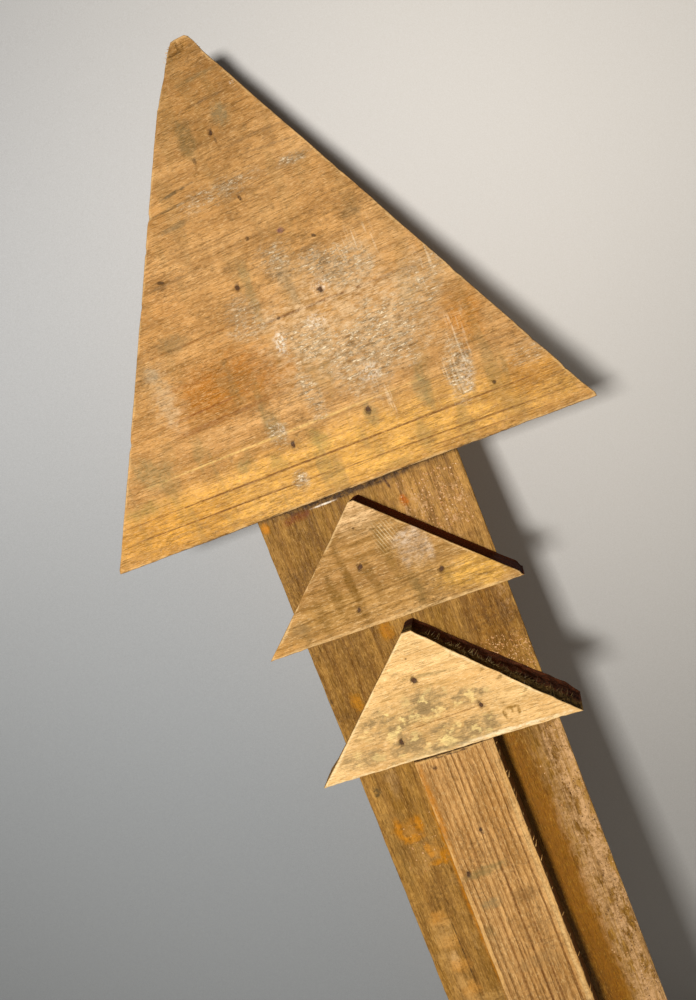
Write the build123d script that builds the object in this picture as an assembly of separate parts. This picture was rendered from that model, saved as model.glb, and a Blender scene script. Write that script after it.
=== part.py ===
from build123d import *
import math
import os

# A tall arrow-headed marker, nailed up by hand from planed softwood boards. A post board carries
# a large triangular head, two small triangles below it, and a batten that runs down to the foot.
# The origin is the centre of the post's sawn foot. +Z runs up the post. The pieces are nailed to
# its front, which faces -Y, and every piece is a flat board lying in the XZ plane.

BOARD = 19.0                 # planed thickness of every board but the upper triangle
THIN_BOARD = 16.0            # the upper triangle's thinner stock
ARRIS = 0.3                  # flat rubbed along every edge of a board

POST_WIDTH = 89.0
POST_LENGTH = 610.0
HEAD_BASE = 455.0            # height of the head's lower edge above the foot
POST_SHOULDER = 88.0         # the post's top is cut to a point from here, above the head's lower edge
POST_POINT_HALF = 9.0        # half the width left at the top of that point

HEAD_WIDTH = 201.0
HEAD_HEIGHT = 190.0          # to where its two cut edges would meet
HEAD_OFFSET = -1.0
HEAD_SKEW = -0.4             # degrees off square, seen from the front, anticlockwise positive
HEAD_NOSE_HIGH = 181.0       # the blunted tip
HEAD_NOSE_LEAN = 2.0         # the tip stands this far right of the middle
HEAD_NOSE_RIGHT = 176.5      # where the blunting leaves the right edge
HEAD_NOSE_LEFT = 170.5       # and the left edge
HEAD_NOSE_SHOULDER = (-6.4, 178.4)   # the tip's rounded left shoulder
HEAD_CORNER = 1.2            # length worn off each lower corner

UPPER_WIDTH = 109.0
UPPER_HEIGHT = 51.5
UPPER_DROP = 55.0            # its lower edge is this far below the head's
UPPER_OFFSET = -1.9
UPPER_SKEW = -0.45

LOWER_WIDTH = 108.5
LOWER_HEIGHT = 53.0
LOWER_DROP = 111.3
LOWER_OFFSET = -0.3
LOWER_SKEW = -0.9

SMALL_TIP = 1.6              # height worn off the tip of each small triangle
SMALL_CORNER = 1.0           # length worn off each of their lower corners

BATTEN_WIDTH = 33.5
BATTEN_OFFSET = 0.9
BATTEN_GAP = 0.6             # between its top end and the lower triangle

NAIL_RADIUS = 0.9
NAIL_HEAD_RADIUS = 1.3
NAIL_HEAD_THICK = 0.8
NAIL_POINT = 2.4
NAIL_LENGTH = 32.0
NAIL_SUNK = 0.4              # the heads are driven this far under the face

# Each nail's place on the front: right of the post's middle, and above the head's lower edge.
HEAD_NAILS = [(0.7, 144.7), (-11.8, 87.5), (17.8, 74.7), (-13.8, 24.3), (18.4, 26.1)]
UPPER_NAILS = [(-7.5, -30.3), (22.5, -42.1), (-14.2, -46.4)]
LOWER_NAILS = [(-3.5, -79.8), (18.1, -97.4), (-17.2, -102.1)]
BATTEN_NAILS = [(-0.3, -145.8), (-11.9, -162.3), (8.0, -285.0), (-7.0, -372.0), (5.0, -436.0)]

POST_FRONT = -BOARD / 2


def board(outline, thickness, back):
    """A board of this closed outline, its back face at y = back, with every arris eased."""
    face = make_face(Plane.XZ.offset(-back) * outline)
    blank = extrude(face, thickness)
    return chamfer(blank.edges(), ARRIS)


def wedge_outline(width, height, tip, corner):
    """A triangle on a level base, with its tip and its two lower corners worn blunt."""
    half = width / 2
    slope = half / height
    lift = corner / math.hypot(1, slope)
    right = [
        (half - corner, 0),
        (half - slope * lift, lift),
        (slope * tip, height - tip),
    ]
    left = [(-x, z) for x, z in reversed(right)]
    return Polyline(*right, *left, close=True)


def head_outline():
    """The large triangle, with its tip knocked off to a lopsided nose."""
    half = HEAD_WIDTH / 2
    slope = half / HEAD_HEIGHT
    lift = HEAD_CORNER / math.hypot(1, slope)
    nose_right = (slope * (HEAD_HEIGHT - HEAD_NOSE_RIGHT), HEAD_NOSE_RIGHT)
    nose_left = (-slope * (HEAD_HEIGHT - HEAD_NOSE_LEFT), HEAD_NOSE_LEFT)
    nose_top = (HEAD_NOSE_LEAN, HEAD_NOSE_HIGH)
    points = [
        (-half + HEAD_CORNER, 0),
        (half - HEAD_CORNER, 0),
        (half - slope * lift, lift),
        nose_right,
        nose_top,
        HEAD_NOSE_SHOULDER,
        nose_left,
        (-half + slope * lift, lift),
    ]
    return Polyline(*points, close=True)


def post_outline():
    """The post, with the top that the head hides cut to a blunt point."""
    half = POST_WIDTH / 2
    shoulder = HEAD_BASE + POST_SHOULDER
    points = [
        (-half, 0),
        (half, 0),
        (half, shoulder),
        (POST_POINT_HALF, POST_LENGTH),
        (-POST_POINT_HALF, POST_LENGTH),
        (-half, shoulder),
    ]
    return Polyline(*points, close=True)


def placed(outline, offset, level, skew):
    """The outline turned by its skew about the middle of its base, then put at its height."""
    return Pos(offset, level) * Rot(0, 0, skew) * outline


def post_board():
    return board(post_outline(), BOARD, BOARD / 2)


def batten():
    top = HEAD_BASE - LOWER_DROP - BATTEN_GAP
    half = BATTEN_WIDTH / 2
    outline = Polyline((-half, 0), (half, 0), (half, top), (-half, top), close=True)
    return board(Pos(BATTEN_OFFSET, 0) * outline, BOARD, POST_FRONT)


def head_triangle():
    outline = placed(head_outline(), HEAD_OFFSET, HEAD_BASE, HEAD_SKEW)
    return board(outline, BOARD, POST_FRONT)


def upper_triangle():
    outline = wedge_outline(UPPER_WIDTH, UPPER_HEIGHT, SMALL_TIP, SMALL_CORNER)
    outline = placed(outline, UPPER_OFFSET, HEAD_BASE - UPPER_DROP, UPPER_SKEW)
    return board(outline, THIN_BOARD, POST_FRONT)


def lower_triangle():
    outline = wedge_outline(LOWER_WIDTH, LOWER_HEIGHT, SMALL_TIP, SMALL_CORNER)
    outline = placed(outline, LOWER_OFFSET, HEAD_BASE - LOWER_DROP, LOWER_SKEW)
    return board(outline, BOARD, POST_FRONT)


def nail(place, thickness):
    """A wire nail driven straight back through a board of this thickness into the post."""
    shank = NAIL_LENGTH - NAIL_HEAD_THICK - NAIL_POINT
    profile = Polyline(
        (0, 0),
        (NAIL_HEAD_RADIUS, 0),
        (NAIL_HEAD_RADIUS, NAIL_HEAD_THICK),
        (NAIL_RADIUS, NAIL_HEAD_THICK),
        (NAIL_RADIUS, NAIL_HEAD_THICK + shank),
        (0, NAIL_LENGTH),
        close=True,
    )
    turned = revolve(make_face(profile), Axis.Y)
    across, above = place
    face = POST_FRONT - thickness + NAIL_SUNK
    return Pos(across, face, HEAD_BASE + above) * turned


def nail_hole(place, thickness):
    """The room a nail takes up, open to the front of its board above the sunk head."""
    across, above = place
    face = POST_FRONT - thickness + NAIL_SUNK
    well = Cylinder(
        NAIL_HEAD_RADIUS, 2 * NAIL_SUNK, rotation=(90, 0, 0), align=(Align.CENTER, Align.CENTER, Align.MIN)
    )
    return nail(place, thickness) + Pos(across, face, HEAD_BASE + above) * well


boards = {
    "post_board": post_board(),
    "batten": batten(),
    "head_triangle": head_triangle(),
    "upper_triangle": upper_triangle(),
    "lower_triangle": lower_triangle(),
}
nailing = {
    "head_triangle": ("head_nail", HEAD_NAILS, BOARD),
    "upper_triangle": ("upper_nail", UPPER_NAILS, THIN_BOARD),
    "lower_triangle": ("lower_nail", LOWER_NAILS, BOARD),
    "batten": ("batten_nail", BATTEN_NAILS, BOARD),
}
parts = dict(boards)
for piece, (name, places, thickness) in nailing.items():
    for count, place in enumerate(places, start=1):
        hole = nail_hole(place, thickness)
        parts[piece] -= hole
        parts["post_board"] -= hole
        parts[f"{name}_{count}"] = nail(place, thickness)

os.makedirs("parts", exist_ok=True)
for name, shape in parts.items():
    export_step(shape, f"parts/{name}.step")
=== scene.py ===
import math
import bpy
import numpy as np
from mathutils import Matrix, Vector


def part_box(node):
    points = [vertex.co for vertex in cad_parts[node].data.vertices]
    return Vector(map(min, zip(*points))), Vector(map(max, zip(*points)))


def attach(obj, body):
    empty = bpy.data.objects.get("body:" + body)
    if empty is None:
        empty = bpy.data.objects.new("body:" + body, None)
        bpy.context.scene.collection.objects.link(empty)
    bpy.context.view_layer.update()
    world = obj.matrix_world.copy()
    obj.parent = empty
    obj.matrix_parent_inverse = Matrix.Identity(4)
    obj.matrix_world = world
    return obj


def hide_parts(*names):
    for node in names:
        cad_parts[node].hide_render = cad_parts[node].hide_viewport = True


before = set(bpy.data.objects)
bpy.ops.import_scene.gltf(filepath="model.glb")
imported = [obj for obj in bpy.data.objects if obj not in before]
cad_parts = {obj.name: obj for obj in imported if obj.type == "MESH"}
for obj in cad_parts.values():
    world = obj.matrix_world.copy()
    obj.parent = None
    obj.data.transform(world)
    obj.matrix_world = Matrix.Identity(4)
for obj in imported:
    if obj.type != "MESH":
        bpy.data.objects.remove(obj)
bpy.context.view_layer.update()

scene = bpy.context.scene

# The eye. It is held close in front of the marker, about a foot away and a little right of
# its middle, nearly level, and rolled so that the post leans to the left.
EYE_PLACE = (0.0445, -0.3158, 0.4682)
EYE_TURN = 9.12
EYE_DIP = 3.32
EYE_ROLL = -21.42
EYE_LENS = 27.04
eye = bpy.data.cameras.new("eye")
eye.sensor_width = 36.0
eye.lens = EYE_LENS
eye.clip_start = 0.01
eye_stand = bpy.data.objects.new("eye", eye)
eye_stand.matrix_world = (
    Matrix.Translation(EYE_PLACE)
    @ Matrix.Rotation(math.radians(EYE_TURN), 4, "Z")
    @ Matrix.Rotation(math.radians(90 - EYE_DIP), 4, "X")
    @ Matrix.Rotation(math.radians(EYE_ROLL), 4, "Z")
)
scene.collection.objects.link(eye_stand)
scene.camera = eye_stand


# The post board: planed softwood, once stained amber, with its grain up its length. It is
# darker beside the boards nailed over it, and some of that is painted shade cast by them. A pale
# crust of old glue has dried along its right side lower down. Its top is cut to a point that
# hides behind the head.
MM = 0.001
HEAD_BASE = 455.0            # the head's lower edge above the foot, from which nails are measured
FOOT_REACH = 7               # how far up a board the wear of its lower edge fades out
SIDE_FADE = 12               # a side's wear fades out within a twelfth of its depth of each face
PIT_REACH = 1.3              # crushed wood round a nail
PIT_DEPTH = 1.0
PIT_STRETCH = 0.7            # a pit is longer up the board than across it
FAR_FROM_NAILS = 50.0
POST_LOW, POST_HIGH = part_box("post_board")
POST_HALF = POST_HIGH.x / MM
POST_TOP = POST_HIGH.z / MM
POST_SHOULDER = HEAD_BASE + 88.0
POST_POINT_HALF = 9.0
POST_ARRIS = 1.0


def swell(x, z, size, seed):
    """Smooth random height, -1 to 1, in lumps about size mm across, or (width, height)."""
    width, height = size if isinstance(size, tuple) else (size, size)
    table = np.random.default_rng(seed).uniform(-1, 1, (97, 89))
    u, v = np.asarray(x) / width + 31.7, np.asarray(z) / height + 17.3
    i, j = np.floor(u).astype(int), np.floor(v).astype(int)
    a, b = u - i, v - j
    a, b = a * a * (3 - 2 * a), b * b * (3 - 2 * b)
    near = table[i % 97, j % 89] * (1 - a) + table[(i + 1) % 97, j % 89] * a
    far = table[i % 97, (j + 1) % 89] * (1 - a) + table[(i + 1) % 97, (j + 1) % 89] * a
    return near * (1 - b) + far * b


def ripple(along, depth, size, seed):
    """Uneven wear along an edge, from nothing to twice its usual depth."""
    return depth * (1 + swell(along, 0 * along, size, seed))


def spaced(length, pitch, arris):
    """Distances across a board, close together in the rounding at either end."""
    near = np.array([0.0, 0.12, 0.35, 0.7]) * arris
    middle = np.linspace(arris, length - arris, max(3, round((length - 2 * arris) / pitch)))
    return np.concatenate([near, middle, (length - near)[::-1]])


def round_over(distance, radius):
    """How far a face has dropped at this distance from its rubbed edge."""
    short = np.clip(1 - distance / radius, 0, 1)
    return radius * (1 - np.sqrt(1 - short * short))


def worn_board(name, node, left, right, rows, pitch, arris, relief, sides,
               skew=0.0, at=(0.0, 0.0), nails=(), foot=None, flare=None):
    """A worn board in the room of its CAD node. left(z) and right(z) are its outline and
    foot(x) the wear of its lower edge, relief(x, z) sinks its front, flare(x, z) shifts its
    back, and sides(x, z, y, out_x, out_z) eats into its edges."""
    low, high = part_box(node)
    face, back = low.y / MM, high.y / MM
    edge_left, edge_right = left(rows)[:, None], right(rows)[:, None]
    columns = spaced(float((edge_right - edge_left).max()), pitch, arris)
    x = edge_left + (edge_right - edge_left) * columns / columns[-1]
    z = rows[:, None] + 0 * x
    if foot is not None:
        z = z + foot(x) * np.clip(1 - z / FOOT_REACH, 0, 1)
    lean_left = np.hypot(1, np.gradient(edge_left[:, 0], rows))[:, None]
    lean_right = np.hypot(1, np.gradient(edge_right[:, 0], rows))[:, None]
    to_edge = np.minimum((x - edge_left) / lean_left, (edge_right - x) / lean_right)
    to_edge = np.minimum(to_edge, np.minimum(rows - rows[0], rows[-1] - rows)[:, None])
    radius = np.clip(arris * (0.8 + 0.45 * swell(x, z, 11.0, 5) + 0.3 * swell(x, z, 3.0, 6)), 0.15, None)
    rounding = round_over(to_edge, radius)
    front = face + rounding + np.clip(relief(x, z), 0, None)
    rear = back - rounding - 0.08 * (1 + swell(x, z, 14.0, 8))

    count = x.size
    index = np.arange(count).reshape(x.shape)
    rim = np.concatenate([index[0, :-1], index[:-1, -1], index[-1, :0:-1], index[:0:-1, 0]])
    front_points = np.stack([x, front, z], -1).reshape(-1, 3)
    rear_points = np.stack([x, rear, z], -1).reshape(-1, 3)
    if flare is not None:
        spread_x, spread_z = flare(rear_points[:, 0], rear_points[:, 2])
        rear_points[:, 0] += spread_x
        rear_points[:, 2] += spread_z
    near, far = front_points[rim], rear_points[rim]
    step = np.roll(near, -1, 0) - np.roll(near, 1, 0)
    out_x, out_z = step[:, 2], -step[:, 0]
    reach = np.hypot(out_x, out_z) + 1e-9
    out_x, out_z = out_x / reach, out_z / reach
    levels = spaced(1.0, pitch=0.1, arris=0.06)[1:-1]
    rings = []
    for level in levels:
        ring = near + (far - near) * level
        bite = sides(ring[:, 0], ring[:, 2], ring[:, 1], out_x, out_z)
        bite = bite * min(1.0, SIDE_FADE * min(level, 1 - level))
        ring[:, 0] -= out_x * bite
        ring[:, 2] -= out_z * bite
        rings.append(ring)
    points = np.concatenate([front_points, rear_points, *rings])

    quads = np.stack([index[:-1, :-1], index[:-1, 1:], index[1:, 1:], index[1:, :-1]], -1).reshape(-1, 4)
    ring_index = [2 * count + k * len(rim) + np.arange(len(rim)) for k in range(len(levels))]
    loops = [rim, *ring_index, rim + count]
    walls = [np.stack([a, b, np.roll(b, -1), np.roll(a, -1)], -1) for a, b in zip(loops, loops[1:])]
    faces = np.concatenate([quads, quads[:, ::-1] + count, *walls])

    turn = math.radians(skew)
    across = at[0] + points[:, 0] * math.cos(turn) - points[:, 2] * math.sin(turn)
    above = at[1] + points[:, 0] * math.sin(turn) + points[:, 2] * math.cos(turn)
    points[:, 0], points[:, 2] = across, above
    to_nail = np.full(len(points), FAR_FROM_NAILS)
    for nail_x, nail_z in nails:
        away = np.hypot(across - nail_x, PIT_STRETCH * (above - HEAD_BASE - nail_z))
        to_nail = np.minimum(to_nail, away + 0.6 * swell(across, above, 1.3, 9))
    pit = np.clip(1.25 - to_nail[:count] / PIT_REACH, 0, 1)
    points[:count, 1] += PIT_DEPTH * pit * pit * (3 - 2 * pit)
    depth = [np.full(len(rim), min(level, 1 - level) * (back - face)) for level in levels]
    to_arris = np.concatenate([to_edge.ravel(), to_edge.ravel(), *depth])
    side = np.concatenate([np.zeros(2 * count), np.ones(len(rim) * len(levels))])

    mesh = bpy.data.meshes.new(name)
    mesh.from_pydata((points * MM).tolist(), [], faces.tolist())
    mesh.polygons.foreach_set("use_smooth", [True] * len(mesh.polygons))
    for title, values in {"to_arris": to_arris, "to_nail": to_nail, "side": side}.items():
        mesh.attributes.new(title, "FLOAT", "POINT").data.foreach_set("value", values.astype(np.float32))
    piece = bpy.data.objects.new(name, mesh)
    scene.collection.objects.link(piece)
    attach(piece, "root")
    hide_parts(node)
    return piece


def tone(code):
    """A colour written as six hex digits, in the light values that shaders use."""
    parts = [int(code[k:k + 2], 16) / 255 for k in (0, 2, 4)]
    return (*[p / 12.92 if p <= 0.04045 else ((p + 0.055) / 1.055) ** 2.4 for p in parts], 1.0)


def put(tree, kind, sockets=None, **settings):
    """One node. A socket is given a value, or another node's output to be joined to."""
    node = tree.nodes.new(kind)
    for key, value in settings.items():
        setattr(node, key, value)
    for key, value in (sockets or {}).items():
        if isinstance(value, bpy.types.NodeSocket):
            tree.links.new(value, node.inputs[key])
        else:
            node.inputs[key].default_value = value
    return node


def figure(tree, operation, a, b=0.0, c=0.0):
    return put(tree, "ShaderNodeMath", {0: a, 1: b, 2: c}, operation=operation).outputs[0]


def times(tree, a, b):
    return figure(tree, "MULTIPLY", a, b)


def vector(tree, operation, a, b):
    return put(tree, "ShaderNodeVectorMath", {0: a, 1: b}, operation=operation).outputs[0]


def ease(tree, value, start, end, low=0.0, high=1.0):
    """A value's smooth step from low at start to high at end."""
    sockets = {"Value": value, "From Min": start, "From Max": end, "To Min": low, "To Max": high}
    return put(tree, "ShaderNodeMapRange", sockets, interpolation_type="SMOOTHSTEP").outputs[0]


def cloudy(tree, place, fineness, detail=3.0, roughness=0.55, shift=(0, 0, 0)):
    """Noise with its own fineness along, through and across the board, per mm."""
    place = put(tree, "ShaderNodeMapping", {"Vector": place, "Scale": fineness, "Location": shift}).outputs[0]
    sockets = {"Vector": place, "Scale": 1.0, "Detail": detail, "Roughness": roughness}
    return put(tree, "ShaderNodeTexNoise", sockets).outputs["Fac"]


def over(tree, factor, below, above):
    """One colour laid over another where factor is high."""
    return put(tree, "ShaderNodeMix", {0: factor, 6: below, 7: above}, data_type="RGBA").outputs[2]


def wash(tree, colour, mask, strength, paint):
    """A thin coat of a tone over a colour, where its mask is high."""
    return over(tree, times(tree, mask, strength), colour, tone(paint))


def effect(name, inputs, outputs):
    """An empty group, with what goes in, named and given its usual value, and what comes out."""
    tree = bpy.data.node_groups.new(name, "ShaderNodeTree")
    for title, usual in inputs.items():
        kind = "NodeSocketVector" if isinstance(usual, tuple) else "NodeSocketFloat"
        tree.interface.new_socket(title, in_out="INPUT", socket_type=kind).default_value = usual
    for title in outputs:
        tree.interface.new_socket(title, in_out="OUTPUT", socket_type="NodeSocketFloat")
    return tree, tree.nodes.new("NodeGroupInput").outputs


# Growth lines: dark latewood lines across the board, at uneven spacing, that waver along it,
# with fine fibres between. X runs along the grain and Z across it, in mm.
growth, given = effect(
    "growth_lines",
    {"Place": (0, 0, 0), "Spacing": 4.0, "Waver": 6.0, "Uneven": 9.0, "Start": 0.0},
    ["Line", "Tone", "Fibre"],
)
through = put(growth, "ShaderNodeSeparateXYZ", {0: given["Place"]}).outputs[2]
waver = figure(growth, "SUBTRACT", cloudy(growth, given["Place"], (0.011, 0.02, 0.03), 2.0), 0.5)
shiver = figure(growth, "SUBTRACT", cloudy(growth, given["Place"], (0.06, 0.1, 0.25), 2.0), 0.5)
across = figure(growth, "MULTIPLY_ADD", waver, given["Waver"], through)
across = figure(growth, "MULTIPLY_ADD", shiver, 1.1, figure(growth, "ADD", across, given["Start"]))
ladder = put(growth, "ShaderNodeCombineXYZ", {0: given["Start"], 2: across}).outputs[0]
bunched = cloudy(growth, ladder, (0.05, 0.05, 0.11), 2.0)
across = figure(growth, "MULTIPLY_ADD", bunched, given["Uneven"], across)
ring = figure(growth, "FRACT", figure(growth, "DIVIDE", across, given["Spacing"]))
line = times(growth, ease(growth, ring, 0.35, 0.93), ease(growth, ring, 0.93, 1.0, 1.0, 0.0))
fade = ease(growth, cloudy(growth, given["Place"], (0.02, 0.1, 0.2), 2.0, shift=(3, 1, 7)), 0.34, 0.62)
fibre = cloudy(growth, given["Place"], (0.09, 0.5, 3.2), 4.0, 0.62)
sharp = times(growth, figure(growth, "POWER", line, 2.2), fade)
put(growth, "NodeGroupOutput", {"Line": sharp, "Tone": line, "Fibre": fibre})

# Weathering: blotches, short dark pores that run with the grain, and fine grit. X is the grain.
weather, given = effect(
    "weathering", {"Place": (0, 0, 0), "Start": 0.0}, ["Blotch", "Streak", "Pore", "Grit"],
)
place = put(weather, "ShaderNodeCombineXYZ", {0: given["Start"], 2: given["Start"]}).outputs[0]
place = vector(weather, "ADD", given["Place"], place)
blotch = ease(weather, cloudy(weather, place, (0.09, 0.1, 0.16), 5.0, 0.68), 0.33, 0.67)
pore = ease(weather, cloudy(weather, place, (0.17, 0.5, 2.1), 4.0, 0.64, (2, 6, 4)), 0.55, 0.66)
grit = ease(weather, cloudy(weather, place, (0.42, 1.2, 2.3), 4.0, 0.77, (3, 3, 9)), 0.3, 0.7)
streak = ease(weather, cloudy(weather, place, (0.035, 0.3, 0.8), 4.0, 0.6, (7, 2, 9)), 0.5, 0.63)
put(weather, "NodeGroupOutput", {"Blotch": blotch, "Streak": streak, "Pore": pore, "Grit": grit})

# A ragged-edged mark, used for stains and painted shade alike: 1 in its middle, 0 outside it. It goes right
# through the boards.
STAIN_AND_SHADE_MIDDLE = -20
STAIN_AND_SHADE_DEPTH = 60
stain_and_shade, given = effect(
    "stain_and_shade",
    {
        "Place": (0, 0, 0), "Middle": (0, 0, 0), "Size": (10, 10, 10), "Lean": 0.0,
        "Ragged": 1.0, "Fineness": 0.12,
    },
    ["Mask"],
)
away = vector(stain_and_shade, "SUBTRACT", given["Place"], given["Middle"])
lean = {"Vector": away, "Angle": given["Lean"]}
away = put(stain_and_shade, "ShaderNodeVectorRotate", lean, rotation_type="Y_AXIS").outputs[0]
away = vector(stain_and_shade, "DIVIDE", away, given["Size"])
away = put(stain_and_shade, "ShaderNodeVectorMath", {0: away}, operation="LENGTH").outputs["Value"]
sockets = {"Vector": given["Place"], "Scale": given["Fineness"], "Detail": 5.0, "Roughness": 0.65}
edge = figure(stain_and_shade, "SUBTRACT", put(stain_and_shade, "ShaderNodeTexNoise", sockets).outputs["Fac"], 0.5)
away = figure(stain_and_shade, "MULTIPLY_ADD", edge, given["Ragged"], away)
fine = cloudy(stain_and_shade, given["Place"], (0.45, 0.6, 0.75), 4.0, 0.75, (5, 2, 8))
broken = ease(stain_and_shade, fine, 0.36, 0.6, 0.35, 1.0)
mask = times(stain_and_shade, ease(stain_and_shade, away, 1.15, 0.3), broken)
put(stain_and_shade, "NodeGroupOutput", {"Mask": figure(stain_and_shade, "MINIMUM", times(stain_and_shade, mask, 1.25), 1.0)})

# Handling: arrises rubbed pale, dirt in the pores, and crushed, rusty wood round the nails.
handling, given = effect(
    "handling", {"Place": (0, 0, 0), "Rub": 1.2, "Dirt": 0.5}, ["Rubbed", "Dirty", "Nailed", "Side"],
)
to_arris, to_nail, side = [
    put(handling, "ShaderNodeAttribute", attribute_name=title).outputs["Fac"]
    for title in ("to_arris", "to_nail", "side")
]
broken = cloudy(handling, given["Place"], (0.12, 0.3, 0.12), 4.0, 0.6)
reach = times(handling, given["Rub"], ease(handling, broken, 0.35, 0.7, 0.2, 1.6))
rubbed = ease(handling, figure(handling, "DIVIDE", to_arris, reach), 1.0, 0.4)
rubbed = times(handling, rubbed, ease(handling, to_arris, 0.12, 0.4))
specks = cloudy(handling, given["Place"], (0.5, 0.9, 0.9), 5.0, 0.75, (5, 9, 2))
clouds = cloudy(handling, given["Place"], (0.03, 0.05, 0.05), 3.0, 0.6, (8, 3, 1))
level = figure(handling, "MULTIPLY_ADD", given["Dirt"], 0.2, specks)
level = figure(handling, "MULTIPLY_ADD", clouds, 0.5, level)
torn = figure(handling, "MULTIPLY_ADD", figure(handling, "SUBTRACT", specks, 0.5), 3.2, to_nail)
put(handling, "NodeGroupOutput", {
    "Rubbed": rubbed, "Dirty": ease(handling, level, 0.88, 1.12),
    "Nailed": ease(handling, torn, 1.6, 0.3), "Side": side,
})


def laid(tree, group, **values):
    """Places one of the groups above in a material with its values, and gives its outputs."""
    return put(tree, "ShaderNodeGroup", values, node_tree=group).outputs


def bare_wood(name, grain_turn=0, start=(0, 0, 0)):
    """A new wood: its tree, places on it in mm, and the same turned so that X is the grain."""
    wood = bpy.data.materials.new(name)
    wood.use_nodes = True
    tree = wood.node_tree
    tree.nodes.remove(tree.nodes["Principled BSDF"])
    place = put(tree, "ShaderNodeTexCoord").outputs["Object"]
    place = put(tree, "ShaderNodeMapping", {"Vector": place, "Scale": (1 / MM,) * 3}).outputs[0]
    turned = {"Vector": place, "Rotation": (0, math.radians(grain_turn), 0), "Location": start}
    return wood, tree, place, put(tree, "ShaderNodeMapping", turned).outputs[0]


def stain_and_shade_mask(tree, place, x, z, wide, high, lean=0.0, ragged=1.3, fineness=0.1):
    """One mark's mask, used for stains and painted shade alike: its middle, half its width and height, and
    its lean in degrees.
    """
    return laid(
        tree, stain_and_shade, Place=place, Middle=(x, STAIN_AND_SHADE_MIDDLE, z), Size=(wide, STAIN_AND_SHADE_DEPTH, high),
        Lean=math.radians(lean), Ragged=ragged, Fineness=fineness,
    )["Mask"]


def stained_and_shaded(tree, colour, place, marks):
    """Listed marks: x, z, half width, half height, lean, tone, strength, raggedness, fineness."""
    for x, z, wide, high, lean, paint, strength, ragged, fineness in marks:
        mask = stain_and_shade_mask(tree, place, x, z, wide, high, lean, ragged, fineness)
        colour = wash(tree, colour, mask, strength, paint)
    return colour


def patches(tree, place, marks):
    """Several listed stains as one mask: x, z, half width, half height, lean, strength."""
    joined = 0.0
    for x, z, wide, high, lean, strength in marks:
        mask = stain_and_shade_mask(tree, place, x, z, wide, high, lean)
        joined = figure(tree, "MAXIMUM", joined, times(tree, mask, strength))
    return joined


def coated(tree, colour, masks, **coats):
    """Washes through several of a group's masks in turn, each with its strength and tone."""
    for title, (strength, paint) in coats.items():
        colour = wash(tree, colour, masks[title], strength, paint)
    return colour


def weathered(tree, colour, grain, start, dark, pale, blotch, pore, grit):
    """The weathering group laid over a wood, each part with its own strength."""
    worn = laid(tree, weather, Place=grain, Start=start)
    colour = wash(tree, colour, worn["Blotch"], blotch, dark)
    colour = wash(tree, colour, worn["Streak"], 0.8 * blotch, dark)
    colour = wash(tree, colour, worn["Pore"], pore, dark)
    fine = ease(tree, worn["Grit"], 0.62, 0.9, 0.0, grit)
    colour = over(tree, fine, colour, tone(pale))
    fine = ease(tree, worn["Grit"], 0.4, 0.12, 0.0, grit)
    colour = over(tree, fine, colour, tone(dark))
    height = figure(tree, "MULTIPLY_ADD", worn["Pore"], -0.6, times(tree, worn["Grit"], 0.5))
    return colour, height


def finished(wood, tree, colour, roughness, height, depth, richness=1.06, **shader):
    """Joins colour, roughness and relief to the wood's shader. Depth is in mm."""
    bump = put(tree, "ShaderNodeBump", {"Strength": 1.0, "Distance": depth * MM, "Height": height})
    colour = put(tree, "ShaderNodeHueSaturation", {"Saturation": richness, "Color": colour}).outputs[0]
    sockets = {
        "Base Color": colour, "Roughness": roughness, "Normal": bump.outputs[0], "Specular IOR Level": 0.3,
        **{key.replace("_", " "): value for key, value in shader.items()},
    }
    finish = put(tree, "ShaderNodeBsdfPrincipled", sockets)
    tree.links.new(finish.outputs[0], tree.nodes["Material Output"].inputs[0])
    return wood


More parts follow.
